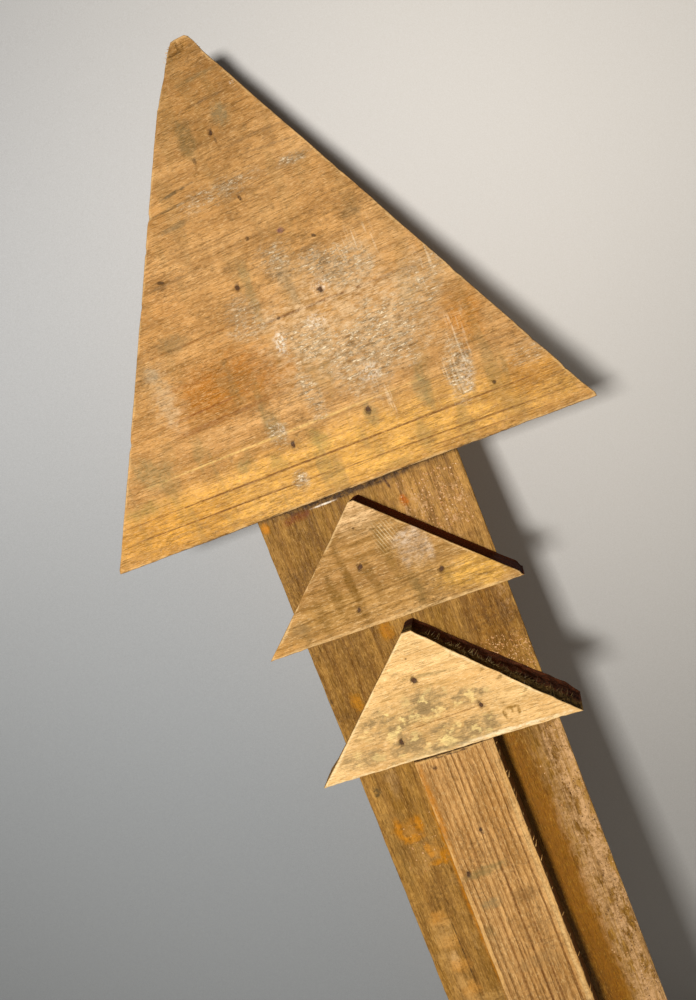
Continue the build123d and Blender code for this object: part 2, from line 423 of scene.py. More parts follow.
def post_wood():
    wood, tree, place, grain = bare_wood("post_wood", 90, (40, 0, 7))
    lines = laid(tree, growth, Place=grain, Spacing=7.5, Waver=12.0, Start=3.0)
    marks = laid(tree, handling, Place=place, Rub=1.0, Dirt=0.6)
    broad = ease(tree, cloudy(tree, grain, (0.012, 0.03, 0.06)), 0.35, 0.65)
    colour = over(tree, broad, tone("a67c45"), tone("8f6832"))
    bands = ease(tree, cloudy(tree, grain, (0.005, 0.05, 0.2), 4.0, 0.6, (4, 1, 2)), 0.42, 0.6, 0.0, 0.45)
    colour = over(tree, bands, colour, tone("bd9055"))
    bands = ease(tree, cloudy(tree, grain, (0.007, 0.05, 0.5), 4.0, 0.6, (9, 1, 5)), 0.5, 0.64, 0.0, 0.5)
    colour = over(tree, bands, colour, tone("5e3e18"))
    colour = stained_and_shaded(tree, colour, place, [
        # Broad faded and stained stretches.
        (-31, 262, 14, 60, 0, "b98d58", 0.4, 0.8, 0.07),
        (-31, 331, 4, 9, 0, "b79264", 0.6, 1.2, 0.12),
        (-39, 300, 5, 26, 0, "86693c", 0.5, 1.4, 0.14),
        (-36, 216, 9, 30, 0, "c2935e", 0.5, 0.8, 0.08),
        (28, 430, 26, 42, 0, "c3935a", 0.8, 0.9, 0.06),
        (34, 385, 12, 30, 0, "7a4e1c", 0.7, 0.9, 0.08),
        # A dark amber band beside the batten's right edge: partly stain, partly painted shade from the
        # batten.
        (24.5, 250, 8.0, 150, 0, "7c4a08", 1.0, 0.5, 0.05),
        (-30, 405, 24, 66, 0, "755224", 0.65, 0.9, 0.06),
    ])
    colour = coated(tree, colour, lines, Tone=(0.25, "7d5222"), Line=(0.45, "553311"))
    colour, height = weathered(
        tree, colour, grain, 11.0, "553713", "cfa568", blotch=0.45, pore=0.36, grit=0.3,
    )
    colour = stained_and_shaded(tree, colour, place, [
        (-39.5, 328, 3.2, 2.6, 20, "33280f", 0.8, 2.0, 0.35),
        (-44, 372, 1.2, 2.0, 0, "3a2810", 0.8, 1.5, 0.5),
        # Two squares of amber glue, each with a darker rim.
        (-32.5, 308, 8, 6, 0, "b4793a", 0.4, 1.6, 0.2),
        (-36.6, 309, 2.2, 6, 4, "c07c30", 0.62, 1.8, 0.3),
        (-27.4, 309, 2.2, 5, -6, "c07c30", 0.62, 1.8, 0.3),
        (-31.5, 303.5, 6.4, 2.2, 4, "c07c30", 0.62, 1.8, 0.3),
        (-25, 296, 5, 4.5, 0, "b4793a", 0.4, 1.6, 0.2),
        (-27.5, 297, 1.8, 5, 8, "c07c30", 0.62, 1.8, 0.3),
        (-22.5, 292.5, 2.2, 4, 0, "c07c30", 0.62, 1.8, 0.3),
        (-25, 290.5, 5, 1.8, 0, "c07c30", 0.62, 1.8, 0.3),
        # Amber stain beside the batten's left edge; a dark amber band beside its right edge, partly stain and
        # partly painted shade from the batten; and a dark crack.
        (-18.6, 272, 2.6, 62, 0, "b06c22", 0.8, 0.9, 0.12),
        (24.0, 268, 8.0, 110, 3, "84520c", 0.6, 0.6, 0.08),
        (-34.5, 246, 2.6, 5, 0, "cda472", 0.7, 1.2, 0.2),
        (-30, 246, 0.35, 24, 0, "2e1a08", 0.85, 0.6, 0.1),
        # Painted shadow along the joint under the head, where the head shades the post: a dark band, brown at
        # its left, with a pale sliver in it; and drips of old stain.
        (-28, 451, 8, 2.6, 6, "6a3410", 0.8, 1.4, 0.25),
        (0, 454.3, 48, 3.0, 0, "24140a", 0.85, 0.8, 0.12),
        (-15, 452.2, 6.5, 0.5, 0, "f2e2cc", 0.95, 0.4, 0.2),
        (-42, 451, 2.0, 3, 0, "c07a2c", 0.8, 1.2, 0.3),
        (-10, 393, 4, 5, 10, "b0701e", 0.6, 1.4, 0.3),
        (-33, 368, 3, 6, 10, "b8781e", 0.6, 1.4, 0.3),
        (17, 442, 2.2, 3, 0, "b4602a", 0.75, 1.4, 0.3),
        (13, 451, 0.7, 3, 12, "3a1c0c", 0.8, 1.4, 0.4),
    ])
    # A ladder of pale patches down the left edge.
    colour = stained_and_shaded(tree, colour, place, [
        (-35 + 0.8 * step, 266 - 11.5 * step, 5.2, 4.2, 0, "cb9253", 0.5, 1.8, 0.2) for step in range(6)
    ])
    pale_patches = cloudy(tree, place, (0.09, 0.3, 0.06), 5.0, 0.66, (5, 5, 5))
    lower_down = stain_and_shade_mask(tree, place, -30, 190, 20, 150, ragged=0.5, fineness=0.05)
    pale_patches = times(tree, ease(tree, pale_patches, 0.48, 0.6), lower_down)
    colour = wash(tree, colour, pale_patches, 0.5, "c39a64")
    crust_place = stain_and_shade_mask(tree, place, 43.5, 228, 15, 122, lean=4, ragged=0.8, fineness=0.06)
    crust_top = stain_and_shade_mask(tree, place, 43, 308, 13, 46, ragged=0.9, fineness=0.09)
    crust_place = figure(tree, "MAXIMUM", crust_place, crust_top)
    crumbs = cloudy(tree, place, (0.34, 0.5, 0.14), 5.0, 0.74, (1, 2, 3))
    crust = times(tree, crust_place, ease(tree, crumbs, 0.4, 0.5))
    stripes = cloudy(tree, place, (0.9, 0.5, 0.05), 4.0, 0.6, (3, 2, 8))
    crust = times(tree, crust, ease(tree, stripes, 0.38, 0.52, 0.4, 1.0))
    upper_crust = patches(tree, place, [
        (21, 438, 7, 10, 8, 0.7), (36, 436, 7, 14, -6, 0.9), (30, 420, 5, 12, 0, 0.4),
        (41, 390, 3, 30, 0, 0.4),
    ])
    sparse = ease(tree, cloudy(tree, place, (0.5, 0.6, 0.4), 4.0, 0.75, (6, 1, 5)), 0.50, 0.58)
    crust = figure(tree, "MAXIMUM", crust, times(tree, upper_crust, sparse))
    colour = wash(tree, colour, crust, 0.9, "caa176")
    specks = ease(tree, cloudy(tree, place, (0.9, 0.9, 0.7), 3.0, 0.7, (9, 4, 2)), 0.6, 0.66)
    colour = wash(tree, colour, crust_place, specks, "50341a")
    colour = coated(
        tree, colour, marks, Dirty=(0.55, "4a3115"), Rubbed=(0.45, "bd9358"),
        Side=(0.5, "6b4a22"),
    )
    roughness = ease(tree, lines["Fibre"], 0.3, 0.7, 0.5, 0.68)
    height = figure(tree, "MULTIPLY_ADD", lines["Fibre"], 0.8, height)
    height = figure(tree, "MULTIPLY_ADD", crust, 0.8, height)
    return finished(wood, tree, colour, roughness, height, depth=0.2, richness=1.1)


def post_left(z):
    return -post_right(z)


def post_right(z):
    taper = (POST_HALF - POST_POINT_HALF) / (POST_TOP - POST_SHOULDER)
    return POST_HALF - taper * np.clip(z - POST_SHOULDER, 0, None)


def post_relief(x, z):
    return 0.12 + 0.1 * swell(x, z, (9, 60), 21) + 0.03 * swell(x, z, (1.6, 30), 22)


def planed_side(x, z, y, out_x, out_z):
    return 0.1 + 0.1 * swell(x + z, 4 * y, (16, 6), 23)


post = worn_board(
    "post_board_wood", "post_board", post_left, post_right,
    rows=spaced(POST_TOP, pitch=1.7, arris=POST_ARRIS), pitch=1.25, arris=POST_ARRIS,
    relief=post_relief, sides=planed_side,
)
post.data.materials.append(post_wood())


# The dried glue: crumbs of it stand on the post where boards were once stuck, thick down the
# right side and thin under the head. They're scattered over flat patches, each turned and sized
# at random.
CRUMB_SIZE = 0.34 * MM
CRUMB_FLATNESS = 0.4
CRUMBS_PER_SQUARE_METRE = 1.7e6
CLUMP_FINENESS = 170.0
CRUMB_SUNK = 0.16 * MM
# Each patch's left, right, bottom and top, and how thickly the glue lies on it.
CRUMB_PATCHES = [
    (30, 44, 60, 334, 0.5), (24, 44, 358, 376, 0.8), (16, 42, 424, 450, 0.45), (-40, -20, 288, 314, 0.25),
]


def grown(name, tree, mesh, values):
    """Runs a Geometry Nodes tree on a mesh with its inputs set, and keeps the plain mesh."""
    holder = bpy.data.objects.new(name, mesh)
    scene.collection.objects.link(holder)
    growing = holder.modifiers.new("growing", "NODES")
    growing.node_group = tree
    sockets = {item.name: item.identifier for item in tree.interface.items_tree if item.in_out == "INPUT"}
    for title, value in values.items():
        growing[sockets[title]] = value
    graph = bpy.context.evaluated_depsgraph_get()
    plain = bpy.data.meshes.new_from_object(holder.evaluated_get(graph), depsgraph=graph)
    holder.modifiers.remove(growing)
    holder.data = plain
    plain.name = name
    return holder


def growing_tree(name, inputs):
    """An empty Geometry Nodes tree with a geometry input, and its own named inputs."""
    tree = bpy.data.node_groups.new(name, "GeometryNodeTree")
    tree.interface.new_socket("Geometry", in_out="INPUT", socket_type="NodeSocketGeometry")
    tree.interface.new_socket("Geometry", in_out="OUTPUT", socket_type="NodeSocketGeometry")
    for title, kind in inputs.items():
        tree.interface.new_socket(title, in_out="INPUT", socket_type="NodeSocket" + kind)
    return tree, tree.nodes.new("NodeGroupInput").outputs


def settled(tree, placed, material):
    """Ends a tree: the instances made real, and given their material."""
    real = put(tree, "GeometryNodeRealizeInstances", {"Geometry": placed}).outputs[0]
    dressed = put(tree, "GeometryNodeSetMaterial", {"Geometry": real, "Material": material})
    tree.links.new(dressed.outputs[0], tree.nodes.new("NodeGroupOutput").inputs["Geometry"])


def scattered(tree, low, high, seed):
    """A random vector for each point."""
    sockets = {"Min": low, "Max": high, "Seed": seed}
    return put(tree, "FunctionNodeRandomValue", sockets, data_type="FLOAT_VECTOR").outputs[0]


def set_at(tree, points, shape, turn, size=(1, 1, 1)):
    """One shape set at every point, turned and sized there."""
    sockets = {"Points": points, "Instance": shape, "Rotation": turn, "Scale": size}
    return put(tree, "GeometryNodeInstanceOnPoints", sockets).outputs[0]


crumb_tree, given = growing_tree(
    "crumb_tree",
    {"Density": "Float", "Size": "Float", "Flatness": "Float", "Seed": "Int", "Material": "Material"},
)
thick = put(crumb_tree, "GeometryNodeInputNamedAttribute", {"Name": "thick"}, data_type="FLOAT").outputs[0]
clumps = {"Scale": CLUMP_FINENESS, "Detail": 3.0, "Roughness": 0.7}
clumps = put(crumb_tree, "ShaderNodeTexNoise", clumps).outputs["Fac"]
dense = times(crumb_tree, ease(crumb_tree, clumps, 0.44, 0.6), thick)
dense = times(crumb_tree, dense, given["Density"])
strewn = put(
    crumb_tree, "GeometryNodeDistributePointsOnFaces",
    {"Mesh": given["Geometry"], "Density": dense, "Seed": given["Seed"]},
).outputs["Points"]
crumb = put(crumb_tree, "GeometryNodeMeshIcoSphere", {"Radius": given["Size"], "Subdivisions": 1}).outputs[0]
flat = put(crumb_tree, "ShaderNodeCombineXYZ", {0: 1.0, 1: given["Flatness"], 2: 1.2}).outputs[0]
crumb = put(crumb_tree, "GeometryNodeTransform", {"Geometry": crumb, "Scale": flat}).outputs[0]
various = scattered(crumb_tree, (0.35, 0.6, 0.35), (1.25, 1.2, 1.7), given["Seed"])
spun = scattered(crumb_tree, (0.0, 0.0, 0.0), (0.0, 6.28, 0.0), given["Seed"])
spun = put(crumb_tree, "FunctionNodeEulerToRotation", {0: spun}).outputs[0]
settled(crumb_tree, set_at(crumb_tree, strewn, crumb, spun, various), given["Material"])


def glue():
    paste, tree, place = bare_wood("dried_glue")[:3]
    shade = ease(tree, cloudy(tree, place, (0.5, 0.5, 0.5), 4.0, 0.7), 0.35, 0.65)
    colour = over(tree, shade, tone("c39768"), tone("a06e3c"))
    # Near-white spots: partly paler glue, partly painted glints on the glossy crumbs.
    bright = ease(tree, cloudy(tree, place, (1.6, 1.6, 1.6), 2.0), 0.58, 0.72)
    colour = over(tree, bright, colour, tone("ead2b0"))
    height = cloudy(tree, place, (3, 3, 3), 3.0, 0.6)
    return finished(paste, tree, colour, ease(tree, shade, 0, 1, 0.3, 0.55), height, depth=0.08)


patch = bpy.data.meshes.new("crumb_patch")
corners = []
for left, right, bottom, top, _ in CRUMB_PATCHES:
    corners += [(left, bottom), (right, bottom), (right, top), (left, top)]
patch_y = POST_LOW.y + CRUMB_SUNK
patch.from_pydata(
    [(x * MM, patch_y, z * MM) for x, z in corners], [],
    [tuple(range(4 * k, 4 * k + 4)) for k in range(len(CRUMB_PATCHES))],
)
thick = patch.attributes.new("thick", "FLOAT", "POINT")
thick.data.foreach_set("value", [row[-1] for row in CRUMB_PATCHES for corner in range(4)])
crumbs = grown("post_glue", crumb_tree, patch, {
    "Density": CRUMBS_PER_SQUARE_METRE, "Size": CRUMB_SIZE, "Flatness": CRUMB_FLATNESS,
    "Seed": 7, "Material": glue(),
})
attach(crumbs, "root")


# The batten: a narrow strip ripped from a board with close, straight growth lines, nailed down
# the middle of the post. Its right arris is rubbed pale, and it stops under the lower triangle.
BATTEN_LOW, BATTEN_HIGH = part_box("batten")
BATTEN_MIDDLE = (BATTEN_LOW.x + BATTEN_HIGH.x) / 2 / MM
BATTEN_HALF = (BATTEN_HIGH.x - BATTEN_LOW.x) / 2 / MM
BATTEN_TOP = BATTEN_HIGH.z / MM
BATTEN_TUCK = 0.45           # its top end is pushed this much nearer the lower triangle
BATTEN_ARRIS = 0.8
BATTEN_FURROWS = [(-6.0, 0.9), (2.0, 0.7), (6.2, 0.6), (13.6, 0.6)]
BATTEN_NAILS = [(-0.3, -145.8), (-11.9, -162.3), (8.0, -285.0), (-7.0, -372.0), (5.0, -436.0)]


def batten_wood():
    wood, tree, place, grain = bare_wood("batten_wood", 90, (300, 0, 21))
    lines = laid(tree, growth, Place=grain, Spacing=2.6, Waver=1.2, Uneven=2.0, Start=11.0)
    marks = laid(tree, handling, Place=place, Rub=1.6, Dirt=0.6)
    broad = ease(tree, cloudy(tree, grain, (0.02, 0.03, 0.06)), 0.35, 0.65)
    colour = over(tree, broad, tone("d0a067"), tone("b78750"))
    colour = coated(tree, colour, lines, Tone=(0.45, "8c5c26"), Line=(0.75, "603810"))
    colour, height = weathered(
        tree, colour, grain, 52.0, "6e4a1e", "eac890", blotch=0.35, pore=0.4, grit=0.32,
    )
    colour = stained_and_shaded(tree, colour, place, [
        # Growth lines that run its whole length, and its rubbed arris.
        (-12.8, 170, 0.5, 190, 0.0, "7a5226", 0.5, 1.0, 0.08),
        (-6.0, 170, 0.9, 200, 0.1, "74481e", 0.65, 1.2, 0.08),
        (-1.8, 170, 0.4, 190, 0.0, "74481e", 0.6, 1.0, 0.08),
        (2.0, 170, 0.7, 200, 0.1, "6a3f18", 0.8, 1.2, 0.08),
        (6.2, 170, 0.6, 200, 0.0, "6a3f18", 0.8, 1.2, 0.08),
        (9.6, 170, 0.35, 150, 0.1, "7a5226", 0.45, 1.2, 0.08),
        (13.6, 170, 0.45, 200, 0.3, "6a3f18", 0.85, 0.8, 0.05),
        (16.0, 170, 1.3, 210, 0.2, "deb67c", 0.75, 0.8, 0.08),
        # Smudges, dents and the dark joint at its top end.
        (-14.5, 322, 1.6, 24, 0, "b0702a", 0.7, 1.2, 0.15),
        (-5, 292.5, 12, 2.2, 8, "77663c", 0.6, 2.0, 0.3),
        (-7, 279, 6, 3, 6, "7d6c48", 0.55, 1.8, 0.2),
        (8, 279, 8, 4, 6, "6e4c24", 0.55, 1.8, 0.2),
        (-12, 267, 3, 4, 0, "7a6238", 0.5, 1.8, 0.2),
        (4, 250, 11, 5, 0, "8a6c44", 0.35, 1.8, 0.2),
        (-8.5, 339, 1.1, 1.1, 0, "4a2c12", 0.9, 1.0, 0.5),
        (17.8, 243, 0.7, 2.0, 30, "3a2210", 0.8, 1.2, 0.4),
        (0, 343.4, 18, 1.1, 0, "2e1c0c", 0.85, 1.6, 0.4),
    ])
    colour = coated(
        tree, colour, marks, Dirty=(0.5, "5a4022"), Rubbed=(0.5, "dcae6e"),
        Side=(0.8, "5e3a1a"), Nailed=(0.9, "2a1a0c"),
    )
    roughness = ease(tree, lines["Fibre"], 0.3, 0.7, 0.55, 0.72)
    height = figure(tree, "MULTIPLY_ADD", lines["Tone"], -0.8, height)
    height = figure(tree, "MULTIPLY_ADD", lines["Fibre"], 0.8, height)
    return finished(wood, tree, colour, roughness, height, depth=0.2)


def batten_left(z):
    return BATTEN_MIDDLE - BATTEN_HALF + ripple(z, 0.12, 8.0, 33)


def batten_right(z):
    return BATTEN_MIDDLE + BATTEN_HALF - ripple(z, 0.15, 6.0, 34) - ripple(z, 0.1, 1.9, 35)


def batten_relief(x, z):
    furrows = sum(np.exp(-((x - at) / wide) ** 2) for at, wide in BATTEN_FURROWS)
    return 0.1 + 0.07 * swell(x, z, (4, 50), 31) + 0.05 * swell(x, z, (1.2, 24), 32) + 0.14 * furrows


batten = worn_board(
    "batten_strip", "batten", batten_left, batten_right,
    rows=spaced(BATTEN_TOP + BATTEN_TUCK, pitch=1.4, arris=BATTEN_ARRIS), pitch=0.6, arris=BATTEN_ARRIS,
    relief=batten_relief, sides=planed_side, nails=BATTEN_NAILS,
)
batten.data.materials.append(batten_wood())


# The head: a large triangle cut across a wide honey-coloured board, so that its grain runs level.
# Its tip has been knocked off, its right corner is chipped, and old glue has left chalky scuffs.
HEAD_HALF = 100.5
HEAD_HEIGHT = 190.0
HEAD_CORNER = 99.72
HEAD_NOSE = 180.7
HEAD_NOSE_LEFT = 160
HEAD_NOSE_RIGHT = 172
HEAD_AT = (-1.0, HEAD_BASE)
HEAD_SKEW = -0.4
HEAD_ARRIS = 0.7
HEAD_NAILS = [(0.7, 144.7), (-11.8, 87.5), (17.8, 74.7), (-13.8, 24.3), (18.4, 26.1)]


def head_wood():
    wood, tree, place, grain = bare_wood("head_wood", 0, (700, 0, 90))
    lines = laid(tree, growth, Place=grain, Spacing=11.0, Waver=5.0, Uneven=14.0, Start=5.0)
    marks = laid(tree, handling, Place=place, Rub=1.1, Dirt=0.7)
    broad = ease(tree, cloudy(tree, grain, (0.015, 0.03, 0.05)), 0.35, 0.65)
    colour = over(tree, broad, tone("d2a067"), tone("c49158"))
    colour = stained_and_shaded(tree, colour, place, [
        # Broad warm and dark stretches.
        (0, 466, 140, 19, 0, "e8b05c", 0.9, 0.4, 0.04),
        (-72, 466, 34, 13, 0, "d8963a", 0.55, 0.8, 0.06),
        (-28, 510, 34, 15, 0, "a4641f", 0.9, 1.0, 0.08),
        (-50, 548, 22, 20, 20, "c48a50", 0.5, 1.0, 0.08),
        (64, 500, 9, 14, 0, "b87428", 0.8, 1.2, 0.1),
        (76, 472, 18, 9, 0, "c08032", 0.6, 1.0, 0.08),
        (0, 632, 5, 4, 0, "c08a40", 0.7, 1.0, 0.2),
        # Darker towards the top of the head: painted shade, where the light falls off.
        (0, 612, 26, 44, 0, "9e713e", 0.7, 0.8, 0.06),
        (-60, 525, 16, 40, -28, "b5864e", 0.5, 0.8, 0.06),
    ])
    colour = coated(tree, colour, lines, Tone=(0.12, "9a6a30"), Line=(0.22, "7a4c1e"))
    colour, height = weathered(
        tree, colour, grain, 31.0, "80582a", "ecc893", blotch=0.5, pore=0.33, grit=0.28,
    )
    plaid = cloudy(tree, place, (0.16, 0.4, 0.035), 2.0, 0.5, (3, 0, 1))
    low_down = stain_and_shade_mask(tree, place, 0, 482, 110, 36, ragged=0.5, fineness=0.05)
    low_down = figure(tree, "MULTIPLY_ADD", low_down, 0.35, 0.14)
    plaid = times(tree, ease(tree, plaid, 0.5, 0.66), low_down)
    colour = over(tree, plaid, colour, tone("7c6a40"))
    colour = stained_and_shaded(tree, colour, place, [
        # Growth lines and scratches, nearly level.
        # A dark line along the head's lower edge: partly dirt on the arris, partly painted shadow of the gap
        # under it.
        (0, 455.1, 130, 1.0, -0.4, "402814", 0.95, 1.2, 0.3),
        (0, 471.0, 125, 0.55, -0.6, "6a4018", 0.85, 0.9, 0.12),
        (-42, 464.8, 62, 0.45, -0.8, "6a4018", 0.8, 0.9, 0.12),
        (42, 462.5, 62, 0.45, -1.4, "6a4018", 0.7, 0.9, 0.12),
        (56, 458.6, 40, 0.4, -1.6, "6a4018", 0.6, 0.9, 0.12),
        (14, 525.5, 50, 0.8, -1.6, "684222", 0.8, 1.4, 0.14),
        (-38, 530.5, 24, 0.6, -0.6, "80501e", 0.75, 1.4, 0.14),
        (-42, 504.5, 24, 0.5, 1, "7c4616", 0.75, 1.4, 0.14),
        (-30, 499, 32, 1.3, 2, "7c4a1c", 0.6, 2.0, 0.2),
        (20, 503, 34, 1.2, 0, "76603c", 0.5, 2.0, 0.2),
        (-45, 516, 18, 1.0, 0, "8a5420", 0.5, 2.0, 0.2),
        (-18, 484.4, 70, 0.6, 0, "e8c078", 0.6, 1.4, 0.14),
        (-40, 486, 50, 0.5, 0.4, "94682c", 0.6, 1.4, 0.14),
        (2, 611, 17, 0.8, 0, "6e4e28", 0.65, 1.4, 0.2),
        (4, 620, 12, 1.4, 0, "86704a", 0.5, 1.8, 0.2),
        (-20, 585, 11, 0.9, 6, "4c3c20", 0.75, 1.6, 0.3),
        (-24, 580, 14, 0.7, 2, "5c4624", 0.6, 1.6, 0.3),
        (-27, 573, 8, 1.4, 4, "6a5a3c", 0.6, 1.6, 0.2),
        (-36, 554.6, 13, 0.7, 0, "7a5a34", 0.6, 1.4, 0.2),
        (14, 592, 18, 0.8, -2, "7a5a34", 0.5, 1.6, 0.2),
        (20, 586, 20, 0.7, -6, "6e5434", 0.5, 1.6, 0.3),
        # Upright smudges of mildew and old glue.
        (-9, 601, 4, 9, 0, "62542f", 0.51, 2.4, 0.15),
        (7, 604, 4.5, 7, 0, "72694a", 0.55, 2.4, 0.15),
        (-7.5, 538, 2.6, 18, -2, "7c6e46", 0.47, 2.4, 0.14),
        (7, 538, 3, 14, 4, "847658", 0.42, 2.4, 0.14),
        (-44, 533, 9, 4.5, 0, "7e6640", 0.55, 2.4, 0.14),
        (-55, 513, 4.5, 13, 0, "c2a47c", 0.52, 2.4, 0.14),
        (-57, 525, 3.5, 4, 0, "968a70", 0.51, 2.4, 0.14),
        (-73, 488, 8, 7, 0, "82734a", 0.51, 2.4, 0.12),
        (-80, 476, 12, 4, 0, "86743f", 0.47, 2.4, 0.12),
        (-18, 489, 4, 8, 14, "7c6c42", 0.55, 2.4, 0.16),
        (-36, 478, 3.4, 4.5, 0, "8a7848", 0.51, 2.4, 0.14),
        (-22, 475, 4, 4, 0, "8a7640", 0.42, 2.4, 0.14),
        (-4, 477, 4.6, 5.5, 0, "8a7a44", 0.51, 2.4, 0.14),
        (19, 480, 3.6, 6, 0, "7f7048", 0.51, 2.4, 0.14),
        (40, 480, 3.4, 7, 0, "827650", 0.42, 2.4, 0.14),
        (47, 517, 4, 10, 0, "8a7752", 0.51, 2.4, 0.14),
        (3, 508, 4, 12, 4, "7e6840", 0.38, 2.4, 0.14),
        (38, 551, 5, 2.4, 0, "7c603a", 0.51, 2.4, 0.2),
        (23, 458, 10, 2, 0, "9a7c46", 0.42, 2.4, 0.2),
    ])
    scuffed = patches(tree, place, [
        (28, 503, 24, 17, 10, 1.0), (6, 514, 14, 8, -10, 1.0), (26, 536, 18, 9, -20, 0.8),
        (56, 483, 6, 14, -14, 1.0), (50, 515, 10, 14, -30, 0.5), (-18, 486, 5, 8, 10, 0.5),
        (-16, 465, 4, 5, 0, 0.6), (6, 547, 9, 8, 0, 0.5), (60, 520, 5, 22, -30, 0.4),
        (-12, 530, 9, 11, 30, 0.4), (80, 478, 9, 6, 0, 0.3), (-5, 578, 22, 5, 0, 0.4),
        (27, 578, 8, 3, 0, 0.5), (0, 495, 5, 12, 0, 0.6),
    ])
    scuffed = figure(tree, "MINIMUM", times(tree, scuffed, 1.7), 1.0)
    grime = ease(tree, cloudy(tree, place, (0.1, 0.4, 0.4), 5.0, 0.7, (2, 8, 8)), 0.42, 0.6, 0.1, 0.7)
    colour = wash(tree, colour, scuffed, grime, "8c6d48")
    gaps = ease(tree, cloudy(tree, grain, (0.12, 0.5, 1.4), 4.0, 0.6, (1, 1, 6)), 0.52, 0.64, 0.0, 0.75)
    colour = wash(tree, colour, scuffed, gaps, "5a4022")
    film = patches(tree, place, [
        (22, 516, 42, 30, -10, 0.85), (-2, 512, 16, 26, 0, 0.45), (-56, 514, 9, 20, 0, 0.4),
    ])
    thin = ease(tree, cloudy(tree, place, (0.3, 0.5, 0.6), 5.0, 0.75, (8, 4, 2)), 0.4, 0.62)
    colour = wash(tree, colour, film, thin, "d6b286")
    powder = cloudy(tree, place, (0.2, 0.5, 0.3), 6.0, 0.72, (4, 4, 4))
    ridges = cloudy(tree, place, (0.3, 0.5, 1.3), 4.0, 0.7, (1, 4, 7))
    powder = figure(tree, "ADD", times(tree, powder, 0.5), times(tree, ridges, 0.5))
    haze = times(tree, scuffed, ease(tree, powder, 0.46, 0.58, 0.0, 0.5))
    colour = over(tree, haze, colour, tone("dbb688"))
    flecks = cloudy(tree, place, (0.42, 0.8, 1.3), 5.0, 0.84, (7, 7, 7))
    flecks = times(tree, figure(tree, "ADD", scuffed, 0.05), ease(tree, flecks, 0.52, 0.585))
    colour = wash(tree, colour, flecks, 0.85, "f2dab4")
    strokes = ease(tree, cloudy(tree, place, (1.1, 0.5, 0.07), 4.0, 0.6, (4, 9, 1)), 0.54, 0.62)
    combed = patches(tree, place, [
        (56, 487, 7, 18, -14, 1.0), (36, 538, 9, 12, -24, 0.8), (56, 522, 5, 18, -30, 0.6),
        (27, 486, 5, 14, 6, 0.5),
    ])
    strokes = times(tree, times(tree, strokes, combed), 1.2)
    strokes = figure(tree, "MINIMUM", times(tree, strokes, powder), 0.4)
    colour = over(tree, strokes, colour, tone("ecd4b0"))
    bright = patches(tree, place, [
        (-4, 517, 3.2, 5, -12, 1.0), (24, 494, 5, 5, 10, 0.65), (58, 480, 2.6, 9, -10, 0.5),
        (-16, 487, 1.6, 3, 10, 0.7), (15, 612.5, 1.0, 0.7, 0, 1.0), (-14.5, 465.5, 2.2, 2.2, 0, 0.4),
        (18, 531, 4, 4, 0, 0.6), (12, 519, 5, 4, 0, 0.6),
    ])
    speckle = cloudy(tree, place, (1.1, 0.8, 1.1), 4.0, 0.7, (2, 2, 5))
    bright = times(tree, bright, ease(tree, speckle, 0.46, 0.56))
    colour = wash(tree, colour, bright, 0.7, "f7e9d2")
    slits = patches(tree, place, [
        (2, 573, 0.8, 2.0, 20, 1.0), (-1, 558, 0.9, 1.0, 0, 1.0), (23, 549, 1.2, 0.7, -30, 1.0),
        (-39, 556, 1.9, 0.8, -20, 1.0), (-1, 526, 0.8, 0.7, 0, 1.0), (66, 473, 0.8, 0.8, 0, 1.0),
        (-9, 592, 0.9, 1.6, 0, 0.7), (1.5, 596, 0.6, 2.0, 0, 0.5),
    ])
    colour = wash(tree, colour, slits, 0.85, "3a2412")
    colour = stained_and_shaded(tree, colour, place, [(12, 556, 1.6, 1.4, 0, "5a3440", 0.8, 1.8, 0.4)])
    crack = patches(tree, place, [
        (-1, 631, 4, 0.45, 0, 1.0), (0.6, 633.4, 0.45, 2.4, 0, 0.9), (2.6, 632.5, 0.5, 2.0, 0, 0.6),
    ])
    colour = wash(tree, colour, crack, 0.6, "6e4a20")
    colour = coated(
        tree, colour, marks, Dirty=(0.5, "5e4524"), Rubbed=(0.5, "dcb47c"),
        Side=(0.7, "6e4822"), Nailed=(0.85, "3a2612"),
    )
    roughness = ease(tree, lines["Fibre"], 0.3, 0.7, 0.52, 0.7)
    height = figure(tree, "MULTIPLY_ADD", lines["Fibre"], 0.7, height)
    height = figure(tree, "MULTIPLY_ADD", flecks, 0.6, height)
    height = figure(tree, "MULTIPLY_ADD", figure(tree, "MAXIMUM", slits, crack), -2.0, height)
    return finished(wood, tree, colour, roughness, height, depth=0.2)


def notch(z, places):
    """Small dents in an edge: height, depth and half width of each, in mm."""
    return sum(depth * np.exp(-((z - at) / wide) ** 2) for at, depth, wide in places)


def head_left(z):
    straight = np.maximum(-HEAD_HALF * (1 - z / HEAD_HEIGHT), -HEAD_CORNER)
    rounding = [-15.6, -12.2, -8.7, -6.0, -3.8, -1.6]
    nose = np.interp(z, [HEAD_NOSE_LEFT, 165, 170, 174.5, 178, HEAD_NOSE], rounding)
    worn = ripple(z, 0.1, 12.0, 46) + ripple(z, 0.07, 2.2, 47)
    dents = notch(z, [(125, 0.6, 1.0), (114, 0.5, 0.9), (47, 0.7, 1.4), (95, 0.4, 0.8)])
    return np.where(z > HEAD_NOSE_LEFT, nose, straight) + (worn + dents) * np.clip(z / 5, 0, 1)


